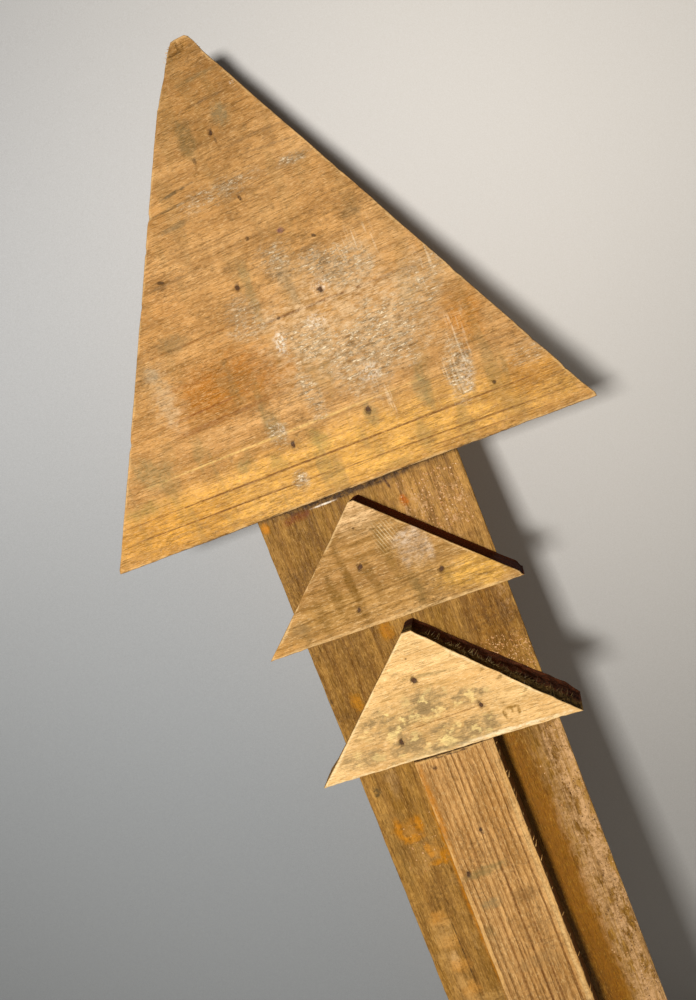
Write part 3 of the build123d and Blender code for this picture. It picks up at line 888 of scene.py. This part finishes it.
def head_right(z):
    straight = np.minimum(HEAD_HALF * (1 - z / HEAD_HEIGHT), HEAD_CORNER)
    nose = np.interp(z, [HEAD_NOSE_RIGHT, 175, 178, 180, HEAD_NOSE], [9.4, 8.3, 7.0, 5.9, 4.6])
    worn = ripple(z, 0.1, 12.0, 48) + ripple(z, 0.08, 1.9, 49)
    dents = notch(z, [(62, 0.3, 2.0), (28, 0.4, 1.0), (14, 0.5, 1.2)])
    return np.where(z > HEAD_NOSE_RIGHT, nose, straight) - (worn + dents) * np.clip(z / 5, 0, 1)


def head_relief(x, z):
    torn = np.clip((z - 173) / 3, 0, 1) * (0.5 + 0.5 * swell(x, z, (3, 1.5), 44))
    chip = 1.6 * np.clip(1 - np.hypot((x - 95) / 7, (z - 8) / 7), 0, 1)
    return 0.12 + 0.1 * swell(x, z, (60, 12), 41) + 0.03 * swell(x, z, (14, 1.5), 42) + torn + chip


def head_foot(x):
    return ripple(x, 0.12, 9.0, 71) + ripple(x, 0.1, 2.0, 72)


def sawn_side(x, z, y, out_x, out_z):
    return 0.18 + 0.12 * swell(x + z, 3 * y, (5, 5), 43) + 0.06 * swell(x + z, y, (1.4, 8), 45)


head = worn_board(
    "head_board", "head_triangle", head_left, head_right,
    rows=spaced(HEAD_NOSE, pitch=1.0, arris=HEAD_ARRIS), pitch=1.0, arris=HEAD_ARRIS,
    relief=head_relief, sides=sawn_side, skew=HEAD_SKEW, at=HEAD_AT, nails=HEAD_NAILS, foot=head_foot,
)
head.data.materials.append(head_wood())


# The upper triangle: half a square of thinner, greyer board, its long side level, with fine saw
# marks left across it. Its sloping sides have gone dark red-brown.
UPPER_HALF = 54.5
UPPER_HEIGHT = 51.5
UPPER_TIP = 50.4
UPPER_AT = (-1.9, HEAD_BASE - 55.0)
UPPER_SKEW = -0.45
UPPER_NAILS = [(-7.5, -30.3), (22.5, -42.1), (-14.2, -46.4)]
SMALL_ARRIS = 0.5


def upper_wood():
    wood, tree, place, grain = bare_wood("upper_wood", 0, (150, 0, 340))
    lines = laid(tree, growth, Place=grain, Spacing=6.0, Waver=4.0, Uneven=8.0, Start=31.0)
    marks = laid(tree, handling, Place=place, Rub=1.0, Dirt=0.7)
    broad = ease(tree, cloudy(tree, grain, (0.02, 0.03, 0.05)), 0.35, 0.65)
    colour = over(tree, broad, tone("c1955e"), tone("ab8050"))
    colour = stained_and_shaded(tree, colour, place, [
        # Broad pale and dark stretches.
        (36, 408, 18, 9, 0, "eab460", 0.85, 1.0, 0.1),
        (-50, 403, 9, 5, 0, "cf9a5c", 0.7, 1.0, 0.1),
        (-2, 446, 14, 11, 0, "f0c692", 0.9, 0.8, 0.1),
        (-26, 412, 18, 10, 0, "9a7440", 0.55, 1.2, 0.1),
    ])
    colour = coated(tree, colour, lines, Tone=(0.2, "a07434"), Line=(0.4, "7a5424"))
    colour, height = weathered(
        tree, colour, grain, 77.0, "76542a", "ecca98", blotch=0.45, pore=0.4, grit=0.32,
    )
    colour = stained_and_shaded(tree, colour, place, [
        # Upright smudges.
        (-13.5, 421, 2.2, 20, 4, "6a4a1c", 0.75, 1.6, 0.16),
        (-21, 417, 2.6, 13, 4, "745428", 0.65, 1.6, 0.16),
        (-29, 410, 2.4, 9, 4, "745428", 0.55, 1.6, 0.16),
        (-4.5, 419, 2.4, 14, 4, "745428", 0.6, 1.6, 0.16),
        (4.5, 428, 2.2, 14, 4, "80602e", 0.5, 1.6, 0.16),
        (11, 409, 2.6, 9, 4, "765e36", 0.65, 1.6, 0.16),
        (24, 411, 2.2, 7, 4, "8a6a34", 0.45, 1.6, 0.16),
        (-38, 405, 2.0, 5, 0, "7c6038", 0.5, 1.6, 0.16),
        # Growth lines, nearly level, and the worn lower edge.
        (-24, 411.6, 20, 0.6, 4, "6e4c20", 0.7, 1.2, 0.16),
        (6, 413.6, 20, 0.5, 3, "6e4c20", 0.65, 1.2, 0.16),
        (-4, 428.5, 16, 0.6, 0, "7c582a", 0.5, 1.6, 0.2),
        (-2, 425, 16, 0.5, 2, "7c582a", 0.45, 1.6, 0.2),
        (2, 434, 16, 0.5, 0, "7c582a", 0.5, 1.6, 0.2),
        (-12, 419.5, 18, 0.45, 1, "745022", 0.5, 1.4, 0.2),
        (10, 419.0, 14, 0.4, 2, "745022", 0.4, 1.4, 0.2),
        (-8, 405.5, 30, 0.5, 2, "745022", 0.5, 1.4, 0.2),
        (-40, 409, 5, 3, 10, "7c6442", 0.5, 1.6, 0.16),
        (0, 401.2, 52, 0.8, -0.5, "e0bb86", 0.5, 1.6, 0.2),
        (-4.3, 440, 0.7, 0.6, 0, "4a3014", 0.9, 1.0, 0.5),
    ])
    chalk = patches(tree, place, [
        (15, 430, 8, 3.5, 10, 1.0), (11, 424, 2.6, 8, 0, 0.6), (20.5, 423, 2.6, 8, 0, 0.8),
        (16, 423, 7, 8, 0, 0.6),
    ])
    powder = cloudy(tree, place, (0.5, 0.6, 0.7), 5.0, 0.75, (4, 4, 4))
    chalk = times(tree, chalk, ease(tree, powder, 0.38, 0.58, 0.25, 0.9))
    colour = wash(tree, colour, chalk, 0.6, "d8c4ac")
    rows = put(tree, "ShaderNodeMapping", {"Vector": place, "Rotation": (0, math.radians(20), 0)}).outputs[0]
    rows = put(tree, "ShaderNodeSeparateXYZ", {0: rows}).outputs[0]
    teeth = figure(tree, "FRACT", figure(tree, "DIVIDE", rows, 1.25))
    teeth = times(tree, ease(tree, teeth, 0.2, 0.5), ease(tree, teeth, 0.8, 0.5))
    sawn = patches(tree, place, [
        (6.5, 434, 6, 7, -20, 1.0), (-26, 434, 8, 4, -20, 0.3), (12, 441, 4, 3, 0, 0.4),
    ])
    teeth = times(tree, teeth, sawn)
    colour = wash(tree, colour, teeth, 0.55, "eed2a4")
    colour = coated(tree, colour, marks, Dirty=(0.5, "5e4524"), Rubbed=(0.45, "e2bf8a"))
    side_fibre = ease(tree, lines["Fibre"], 0.35, 0.65)
    side_colour = over(tree, side_fibre, tone("4c1a0c"), tone("6e3018"))
    colour = over(tree, times(tree, marks["Side"], 0.96), colour, side_colour)
    colour = wash(tree, colour, marks["Nailed"], 0.85, "33200f")
    roughness = ease(tree, lines["Fibre"], 0.3, 0.7, 0.55, 0.72)
    height = figure(tree, "MULTIPLY_ADD", lines["Fibre"], 0.7, height)
    height = figure(tree, "MULTIPLY_ADD", teeth, 0.8, height)
    roughness = figure(tree, "MAXIMUM", roughness, marks["Side"])
    return finished(wood, tree, colour, roughness, height, depth=0.2, Specular_IOR_Level=0.12)


def upper_left(z):
    return -UPPER_HALF * (1 - z / UPPER_HEIGHT) + ripple(z, 0.1, 3.0, 53)


def upper_right(z):
    corner = notch(z, [(0.5, 1.2, 1.2)])
    return UPPER_HALF * (1 - z / UPPER_HEIGHT) - ripple(z, 0.1, 3.0, 54) - corner


def upper_relief(x, z):
    return 0.08 + 0.05 * swell(x, z, (24, 6), 51) + 0.03 * swell(x, z, (14, 1.3), 52)


def upper_foot(x):
    return ripple(x, 0.12, 8.0, 73) + ripple(x, 0.12, 2.2, 74)


def upper_flare(x, z):
    spread = 0.5 * np.clip(x / 4 + 1, 0, 1) + 0.3 * np.clip(x / UPPER_HALF, 0, 1) ** 2
    return spread, spread * np.clip(z / 3, 0, 1)


upper = worn_board(
    "upper_board", "upper_triangle", upper_left, upper_right,
    rows=spaced(UPPER_TIP, pitch=0.75, arris=SMALL_ARRIS), pitch=0.75, arris=SMALL_ARRIS,
    relief=upper_relief, sides=sawn_side, skew=UPPER_SKEW, at=UPPER_AT, nails=UPPER_NAILS,
    foot=upper_foot, flare=upper_flare,
)
upper.data.materials.append(upper_wood())


# The lower triangle: the same shape in thicker, paler board, blotched with mildew. Its right
# edge is the tree's waney edge, dark and stringy, and its tip is cut square.
LOWER_HALF = 54.25
LOWER_HEIGHT = 53.0
LOWER_TIP = 51.0
LOWER_AT = (-0.3, HEAD_BASE - 111.3)
LOWER_SKEW = -0.9
LOWER_NAILS = [(-3.5, -79.8), (18.1, -97.4), (-17.2, -102.1)]


def lower_wood():
    wood, tree, place, grain = bare_wood("lower_wood", 0, (410, 0, 55))
    lines = laid(tree, growth, Place=grain, Spacing=8.0, Waver=7.0, Uneven=9.0, Start=17.0)
    marks = laid(tree, handling, Place=place, Rub=1.2, Dirt=0.4)
    broad = ease(tree, cloudy(tree, grain, (0.02, 0.03, 0.05)), 0.35, 0.65)
    colour = over(tree, broad, tone("f0c88e"), tone("e2b67c"))
    colour = coated(tree, colour, lines, Tone=(0.18, "c8934e"), Line=(0.3, "94652c"))
    colour = stained_and_shaded(tree, colour, place, [
        # Darker middle and left.
        (-8, 357, 40, 17, 0, "c99f68", 0.75, 0.9, 0.08),
        (-30, 352, 22, 9, 0, "cfa36e", 0.5, 0.9, 0.08),
    ])
    colour, height = weathered(
        tree, colour, grain, 3.0, "a07a46", "fbe2b4", blotch=0.35, pore=0.35, grit=0.32,
    )
    colour = stained_and_shaded(tree, colour, place, [
        # Growth lines, nearly level, and the worn lower edge.
        (2, 376, 12, 0.9, -6, "8a7348", 0.65, 1.8, 0.2),
        (4, 371.5, 14, 0.6, -8, "a8834e", 0.5, 1.6, 0.2),
        (-14, 372, 8, 0.7, 8, "a8834e", 0.5, 1.6, 0.2),
        (2, 357.4, 22, 0.5, 1, "7c5428", 0.75, 1.2, 0.2),
        (-30, 350, 9, 2.4, 0, "a8895a", 0.4, 2.2, 0.2),
        (0, 345.8, 24, 1.2, 0, "90805a", 0.55, 2.0, 0.24),
        (24, 345, 28, 1.0, -0.9, "efdcb4", 0.7, 1.6, 0.2),
        # A small sign, drawn by hand.
        (25.2, 351, 0.9, 2.4, 10, "84602a", 0.9, 1.0, 0.4),
        (28.3, 353.2, 3.2, 0.9, 0, "84602a", 0.9, 1.0, 0.4),
        (28.4, 351.8, 0.6, 1.4, 0, "84602a", 0.7, 1.0, 0.4),
        (31, 351.2, 0.9, 2.2, -8, "84602a", 0.9, 1.0, 0.4),
        # A dent, and dark flecks along the waney edge.
        (-3.4, 384.6, 0.6, 0.5, 0, "5a3c1c", 0.8, 1.0, 0.5),
        (23.5, 371.5, 2.4, 1.0, 40, "8a6a3a", 0.7, 2.2, 0.4),
        (28.5, 366.0, 2.2, 0.9, 40, "7a5a2c", 0.7, 2.2, 0.4),
        (14.0, 381.0, 2.0, 0.8, 40, "9a7a48", 0.6, 2.2, 0.4),
        (36.0, 358.0, 2.6, 0.8, 40, "9a7a48", 0.6, 2.2, 0.4),
    ])
    blotched = patches(tree, place, [
        (-21, 362, 14, 8, 0, 1.0), (-3, 364, 13, 8, 0, 1.0), (13, 363, 11, 5, 0, 0.8),
        (1, 351, 12, 8, 0, 1.0), (-14, 351, 10, 6, 0, 0.8), (15, 350, 10, 5, 0, 0.8),
        (-34, 351, 12, 5, 0, 0.5),
    ])
    clouds = ease(tree, cloudy(tree, place, (0.15, 0.4, 0.24), 5.0, 0.7, (2, 7, 3)), 0.4, 0.56)
    middles = figure(tree, "MINIMUM", times(tree, blotched, 1.6), 1.0)
    mildew = times(tree, clouds, middles)
    haze = ease(tree, cloudy(tree, place, (0.08, 0.4, 0.13), 4.0, 0.6, (5, 3, 8)), 0.32, 0.56, 0.1, 0.7)
    colour = wash(tree, colour, haze, blotched, "ab8d5e")
    colour = wash(tree, colour, mildew, 0.75, "836c4a")
    spots = ease(tree, cloudy(tree, place, (0.2, 0.4, 0.26), 3.0, 0.6, (9, 1, 6)), 0.52, 0.62)
    spots = times(tree, spots, blotched)
    colour = wash(tree, colour, spots, 0.7, "f2d490")
    colour = coated(tree, colour, marks, Dirty=(0.4, "7a5c30"), Rubbed=(0.4, "f2dcae"))
    depth = put(tree, "ShaderNodeSeparateXYZ", {0: place}).outputs[1]
    strings = cloudy(tree, grain, (0.12, 0.5, 0.7), 4.0, 0.7, (8, 8, 2))
    ragged_depth = figure(tree, "MULTIPLY_ADD", figure(tree, "SUBTRACT", strings, 0.5), 9.0, depth)
    bark = over(tree, ease(tree, strings, 0.4, 0.6), tone("4a3418"), tone("86683a"))
    heart = over(tree, ease(tree, strings, 0.4, 0.62), tone("381810"), tone("5c2c1a"))
    bark = over(tree, ease(tree, ragged_depth, -21.5, -18.0), bark, heart)
    sideways = put(tree, "ShaderNodeSeparateXYZ", {0: place}).outputs[0]
    bark = over(tree, ease(tree, sideways, -5.0, -2.0), tone("a9834f"), bark)
    colour = over(tree, times(tree, marks["Side"], 0.97), colour, bark)
    colour = wash(tree, colour, marks["Nailed"], 0.85, "3a2612")
    roughness = ease(tree, lines["Fibre"], 0.3, 0.7, 0.55, 0.72)
    height = figure(tree, "MULTIPLY_ADD", lines["Fibre"], 0.6, height)
    height = figure(tree, "MULTIPLY_ADD", times(tree, marks["Side"], strings), 3.0, height)
    roughness = figure(tree, "MAXIMUM", roughness, marks["Side"])
    return finished(wood, tree, colour, roughness, height, depth=0.18, Specular_IOR_Level=0.12)


def lower_left(z):
    return -LOWER_HALF * (1 - z / LOWER_HEIGHT) + ripple(z, 0.1, 3.0, 67)


def lower_right(z):
    stringy = 0.3 * swell(z, 0 * z, 1.7, 61) + 0.25 * swell(z, 0 * z, 4.0, 62) - 0.35
    stringy = stringy * np.clip(z / 3, 0, 1) * np.clip((LOWER_TIP - z) / 3, 0, 1)
    return LOWER_HALF * (1 - z / LOWER_HEIGHT) + stringy


def lower_relief(x, z):
    return 0.1 + 0.08 * swell(x, z, (24, 7), 63) + 0.03 * swell(x, z, (12, 1.3), 64)


def lower_foot(x):
    return ripple(x, 0.14, 6.0, 75) + ripple(x, 0.14, 1.8, 76)


def lower_flare(x, z):
    spread = 2.0 * np.clip(x / LOWER_HALF + 0.1, 0, 1) ** 1.3
    slant = 0.8 * np.clip(-x / 4, 0, 1)
    return spread + slant, (spread - slant) * np.clip(z / 4, 0, 1)


def waney_side(x, z, y, out_x, out_z):
    bark = (out_x > 0.3) & (out_z > 0.3)
    rough = 0.6 + 0.5 * swell(x - z, 2.2 * y, (7, 5), 65) + 0.35 * swell(x - z, y, (2.2, 1.6), 66)
    return np.where(bark, rough, sawn_side(x, z, y, out_x, out_z))


lower = worn_board(
    "lower_board", "lower_triangle", lower_left, lower_right,
    rows=spaced(LOWER_TIP, pitch=0.7, arris=SMALL_ARRIS), pitch=0.7, arris=SMALL_ARRIS,
    relief=lower_relief, sides=waney_side, skew=LOWER_SKEW, at=LOWER_AT, nails=LOWER_NAILS,
    foot=lower_foot, flare=lower_flare,
)
lower.data.materials.append(lower_wood())


# The frayed edges: stiff fibres that stand off the lower triangle's waney edge, the batten's
# right arris and the head's broken tip. Each is a thin tapered sliver of the board's own wood.
FRAY_LOOSE = 0.5 * MM        # how far the fibres' roots stray from their line
FRAY_SET_BACK = 1.2 * MM     # and how far they are set behind it
FRAY_POINT = 0.02 * MM

fray_tree, given = growing_tree(
    "fray_tree",
    {
        "Count": "Int", "Length": "Float", "Thickness": "Float", "Lean": "Vector", "Spread": "Float",
        "Seed": "Int", "Material": "Material",
    },
)
line = put(fray_tree, "GeometryNodeMeshToCurve", {"Mesh": given["Geometry"]}).outputs[0]
roots = {"Curve": line, "Count": given["Count"]}
roots = put(fray_tree, "GeometryNodeCurveToPoints", roots).outputs["Points"]
jitter = scattered(
    fray_tree, (-FRAY_LOOSE, 0.0, -FRAY_LOOSE), (FRAY_LOOSE, FRAY_SET_BACK, FRAY_LOOSE), given["Seed"],
)
roots = put(fray_tree, "GeometryNodeSetPosition", {"Geometry": roots, "Offset": jitter}).outputs[0]
sliver = put(
    fray_tree, "GeometryNodeMeshCone",
    {
        "Vertices": 5, "Side Segments": 4, "Radius Top": FRAY_POINT, "Radius Bottom": given["Thickness"],
        "Depth": given["Length"],
    },
).outputs["Mesh"]
wild = scattered(fray_tree, (-1.0, 0.0, -1.0), (1.0, 1.0, 1.0), given["Seed"])
wild = put(fray_tree, "ShaderNodeVectorMath", {0: wild, 3: given["Spread"]}, operation="SCALE").outputs[0]
aim = vector(fray_tree, "ADD", wild, given["Lean"])
aim = put(fray_tree, "FunctionNodeAlignRotationToVector", {"Vector": aim}, axis="Z").outputs[0]
various = scattered(fray_tree, (0.5, 0.5, 0.25), (1.2, 1.2, 1.3), given["Seed"])
settled(fray_tree, set_at(fray_tree, roots, sliver, aim, various), given["Material"])


def frayed(name, points, slot, **values):
    """Fibres along a line of points in mm, in the frame of the whole marker."""
    path = bpy.data.meshes.new(name + "_line")
    edges = [(k, k + 1) for k in range(len(points) - 1)]
    path.from_pydata([(x * MM, y * MM, z * MM) for x, y, z in points], edges, [])
    fibres = grown(name, fray_tree, path, values)
    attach(fibres, "root")


def fibre_wood(name, dark, pale):
    wood, tree, place = bare_wood(name)[:3]
    shade = ease(tree, cloudy(tree, place, (0.4, 0.4, 0.4), 4.0, 0.7), 0.35, 0.65)
    colour = over(tree, shade, tone(dark), tone(pale))
    return finished(wood, tree, colour, ease(tree, shade, 0, 1, 0.5, 0.8), shade, depth=0.05)


bark_fibre = fibre_wood("bark_fibre", "3a2a14", "6a5630")
frayed(
    "lower_fray", [(5.0, -28.1, 390.0), (28.0, -28.1, 367.0), (50.0, -28.1, 346.5)], "lower_wood",
    Count=70, Length=1.9 * MM, Thickness=0.1 * MM, Lean=(-0.1, 0.0, -0.1), Spread=1.0,
    Seed=3, Material=bark_fibre,
)
frayed(
    "lower_bark_fray", [(6.0, -24.0, 391.0), (30.0, -24.0, 367.5), (52.0, -24.0, 347.0)], "lower_wood",
    Count=130, Length=1.8 * MM, Thickness=0.14 * MM, Lean=(0.5, 0.0, 0.0), Spread=1.0,
    Seed=4, Material=bark_fibre,
)
honey_fibre = fibre_wood("honey_fibre", "a06a2c", "e2b878")
frayed(
    "batten_fray", [(17.2, -28.2, 12.0), (17.2, -28.2, 170.0), (17.3, -28.2, 341.0)], "batten_wood",
    Count=110, Length=2.2 * MM, Thickness=0.1 * MM, Lean=(0.25, 0.0, 0.9), Spread=0.5,
    Seed=5, Material=honey_fibre,
)
frayed(
    "head_fray",
    [(-6.5, -27.4, 630.0), (-3.0, -27.4, 635.0), (4.0, -27.4, 635.0), (7.6, -27.4, 630.5)], "head_wood",
    Count=40, Length=1.1 * MM, Thickness=0.12 * MM, Lean=(0.9, 0.0, -0.3), Spread=0.5,
    Seed=6, Material=honey_fibre,
)


# The nails: thin wire nails driven a little below the wood, so that each sits in a crushed pit.
# One nail is shaped here and set at every place, each turned and tilted a little differently.
NAIL_WIRE = 0.9 * MM
NAIL_HEAD = 1.0 * MM
NAIL_HEAD_THICK = 0.7 * MM
NAIL_LENGTH = 32.0 * MM
NAIL_SUNK = 0.75 * MM
NAIL_POINT = 0.05 * MM
NAIL_DENTS = 0.45 * MM


def lowered(tree, shape, depth):
    """A shape moved along Z, down where the depth is negative."""
    place = put(tree, "ShaderNodeCombineXYZ", {2: depth}).outputs[0]
    return put(tree, "GeometryNodeTransform", {"Geometry": shape, "Translation": place}).outputs[0]


nail_tree, given = growing_tree(
    "nail_tree",
    {
        "Wire": "Float", "Head": "Float", "Head Thickness": "Float", "Length": "Float", "Seed": "Int",
        "Material": "Material",
    },
)
cap = put(
    nail_tree, "GeometryNodeMeshCylinder",
    {
        "Vertices": 20, "Side Segments": 2, "Fill Segments": 3,
        "Radius": given["Head"], "Depth": given["Head Thickness"],
    },
).outputs["Mesh"]
cap = lowered(nail_tree, cap, times(nail_tree, given["Head Thickness"], -0.5))
# The shank hangs from just under the cap, and the point takes the last 7% of the length.
half = times(nail_tree, given["Length"], 0.46)
shank = put(
    nail_tree, "GeometryNodeMeshCylinder",
    {"Vertices": 12, "Side Segments": 12, "Radius": given["Wire"], "Depth": times(nail_tree, half, 2.0)},
).outputs["Mesh"]
shank = lowered(nail_tree, shank, times(nail_tree, half, -1.02))
tip = put(
    nail_tree, "GeometryNodeMeshCone",
    {
        "Vertices": 12, "Radius Top": given["Wire"], "Radius Bottom": NAIL_POINT,
        "Depth": times(nail_tree, given["Length"], 0.07),
    },
).outputs["Mesh"]
tip = lowered(nail_tree, tip, times(nail_tree, given["Length"], -0.995))
nail = put(nail_tree, "GeometryNodeJoinGeometry")
for part in (tip, shank, cap):
    nail_tree.links.new(part, nail.inputs[0])
turned = scattered(nail_tree, (1.5, -3.14, -0.06), (1.64, 3.14, 0.06), given["Seed"])
turned = put(nail_tree, "FunctionNodeEulerToRotation", {0: turned}).outputs[0]
placed = set_at(nail_tree, given["Geometry"], nail.outputs[0], turned)
placed = put(nail_tree, "GeometryNodeRealizeInstances", {"Geometry": placed}).outputs[0]
dents = put(nail_tree, "ShaderNodeTexNoise", {"Scale": 900.0, "Detail": 2.0}).outputs["Color"]
dents = vector(nail_tree, "SUBTRACT", dents, (0.5, 0.5, 0.5))
dents = put(nail_tree, "ShaderNodeVectorMath", {0: dents, 3: NAIL_DENTS}, operation="SCALE").outputs[0]
placed = put(nail_tree, "GeometryNodeSetPosition", {"Geometry": placed, "Offset": dents}).outputs[0]
settled(nail_tree, placed, given["Material"])


def rusty_steel():
    steel, tree, place = bare_wood("rusty_steel")[:3]
    rust = ease(tree, cloudy(tree, place, (1.4, 1.4, 1.4), 5.0, 0.7), 0.35, 0.6)
    colour = over(tree, rust, tone("4a3c2e"), tone("4c3018"))
    flakes = ease(tree, cloudy(tree, place, (3, 3, 3), 2.0), 0.6, 0.7)
    colour = over(tree, flakes, colour, tone("5e3a1c"))
    height = cloudy(tree, place, (4, 4, 4), 4.0, 0.7)
    metal = ease(tree, rust, 0, 1, 0.8, 0.05)
    roughness = ease(tree, rust, 0, 1, 0.45, 0.85)
    return finished(steel, tree, colour, roughness, height, depth=0.12, Metallic=metal)


steel = rusty_steel()
driven = {"head": HEAD_NAILS, "upper": UPPER_NAILS, "lower": LOWER_NAILS, "batten": BATTEN_NAILS}
for board, places in driven.items():
    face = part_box("batten" if board == "batten" else board + "_triangle")[0].y
    spots = bpy.data.meshes.new(board + "_spots")
    spots.from_pydata([(x * MM, face + NAIL_SUNK, (HEAD_BASE + z) * MM) for x, z in places], [], [])
    nails = grown(board + "_nails", nail_tree, spots, {
        "Wire": NAIL_WIRE, "Head": NAIL_HEAD, "Head Thickness": NAIL_HEAD_THICK, "Length": NAIL_LENGTH,
        "Seed": len(board), "Material": steel,
    })
    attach(nails, "root")
    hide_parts(*[f"{board}_nail_{number + 1}" for number in range(len(places))])


# The studio: a pale floor, a pale cloth close behind that drops away lower down, and one soft
# lamp to the left at the marker's own height. The cloth is seen only from the front.
CLOTH_HEIGHTS = [0.0, 0.2, 0.4, 0.456, 0.53, 0.60, 0.66, 1.7]
CLOTH_DEPTHS = [0.19, 0.14, 0.088, 0.070, 0.038, 0.021, 0.014, 0.014]
CLOTH_HALF = 1.5
CLOTH_STEPS = 171
FLOOR_HALF = 2
WINDOW_PLACE = (-0.075, -0.60, 0.478)
WINDOW_AIM = (0, 0, 0.38)
WINDOW_SIZE = 0.07
WINDOW_POWER = 5.15
REAR_PLACE = (0.0, 1.4, 0.4)
REAR_SIZE = 0.8
REAR_POWER = 9.0
ROOM_TINT = (1.0, 0.98, 0.95, 1)
ROOM_POWER = 0.075


def studio_paint(name, roughness):
    """A plain paint: itself, its tree and its shader."""
    paint = bpy.data.materials.new(name)
    paint.use_nodes = True
    shader = paint.node_tree.nodes["Principled BSDF"]
    shader.inputs["Roughness"].default_value = roughness
    return paint, paint.node_tree, shader


floor_paint, tree, shader = studio_paint("floor_paint", 0.8)
shader.inputs["Base Color"].default_value = tone("d8d5d0")
floor_mesh = bpy.data.meshes.new("floor")
corners = [(x * FLOOR_HALF, y * FLOOR_HALF, 0) for x, y in ((-1, -1), (1, -1), (1, 1), (-1, 1))]
floor_mesh.from_pydata(corners, [], [(0, 1, 2, 3)])
floor_mesh.materials.append(floor_paint)
floor = bpy.data.objects.new("floor", floor_mesh)
scene.collection.objects.link(floor)

cloth_paint, tree, cloth = studio_paint("cloth_paint", 0.75)
place = put(tree, "ShaderNodeTexCoord").outputs["Object"]
spot = put(tree, "ShaderNodeSeparateXYZ", {0: place}).outputs
# The cloth is painted darker towards the bottom and the left: painted shade.
slope = figure(tree, "MULTIPLY_ADD", spot[0], 0.35, spot[2])
aside = ease(tree, spot[0], -0.16, 0.14)
lower_shade = over(tree, aside, tone("929494"), tone("a5a19a"))
upper_shade = over(tree, aside, tone("a9a7a4"), tone("ccc5bb"))
pale = over(tree, ease(tree, slope, 0.2, 0.66), lower_shade, upper_shade)
weave = {"Vector": place, "Scale": 2600.0, "Detail": 2.0, "Roughness": 0.6}
weave = put(tree, "ShaderNodeTexNoise", weave).outputs["Fac"]
pale = over(tree, ease(tree, weave, 0.3, 0.7, 0.0, 0.1), pale, tone("ffffff"))
tree.links.new(pale, cloth.inputs["Base Color"])
behind = put(tree, "ShaderNodeNewGeometry").outputs["Backfacing"]
through = put(tree, "ShaderNodeBsdfTransparent").outputs[0]
seen = put(tree, "ShaderNodeMixShader", {0: behind, 1: cloth.outputs[0], 2: through}).outputs[0]
tree.links.new(seen, tree.nodes["Material Output"].inputs[0])
levels = np.linspace(CLOTH_HEIGHTS[0], CLOTH_HEIGHTS[-1], CLOTH_STEPS)
depths = np.interp(levels, CLOTH_HEIGHTS, CLOTH_DEPTHS)
for sweep in range(3):
    depths[3:-3] = np.convolve(depths, np.full(7, 1 / 7), "valid")
cloth_mesh = bpy.data.meshes.new("cloth")
cloth_mesh.from_pydata(
    [(x, y, z) for z, y in zip(levels.tolist(), depths.tolist()) for x in (-CLOTH_HALF, CLOTH_HALF)], [],
    [(2 * k, 2 * k + 1, 2 * k + 3, 2 * k + 2) for k in range(len(levels) - 1)],
)
cloth_mesh.polygons.foreach_set("use_smooth", [True] * len(cloth_mesh.polygons))
cloth_mesh.materials.append(cloth_paint)
backdrop = bpy.data.objects.new("backdrop", cloth_mesh)
backdrop.visible_diffuse = False
backdrop.visible_glossy = False
backdrop.visible_transmission = False
backdrop.visible_shadow = False
scene.collection.objects.link(backdrop)

lamp = bpy.data.lights.new("window", "AREA")
lamp.size = WINDOW_SIZE
lamp.energy = WINDOW_POWER
window = bpy.data.objects.new("window", lamp)
window.location = WINDOW_PLACE
window.rotation_mode = "QUATERNION"
window.rotation_quaternion = (Vector(WINDOW_AIM) - window.location).to_track_quat("-Z", "Y")
scene.collection.objects.link(window)
rear = bpy.data.lights.new("rear_lamp", "AREA")
rear.size = REAR_SIZE
rear.energy = REAR_POWER
rear_lamp = bpy.data.objects.new("rear_lamp", rear)
rear_lamp.location = REAR_PLACE
rear_lamp.rotation_euler = (math.radians(-90), 0, 0)
scene.collection.objects.link(rear_lamp)
room = bpy.data.worlds.new("room")
room.use_nodes = True
room.node_tree.nodes["Background"].inputs["Color"].default_value = ROOM_TINT
room.node_tree.nodes["Background"].inputs["Strength"].default_value = ROOM_POWER
scene.world = room
scene.view_settings.view_transform = "Standard"
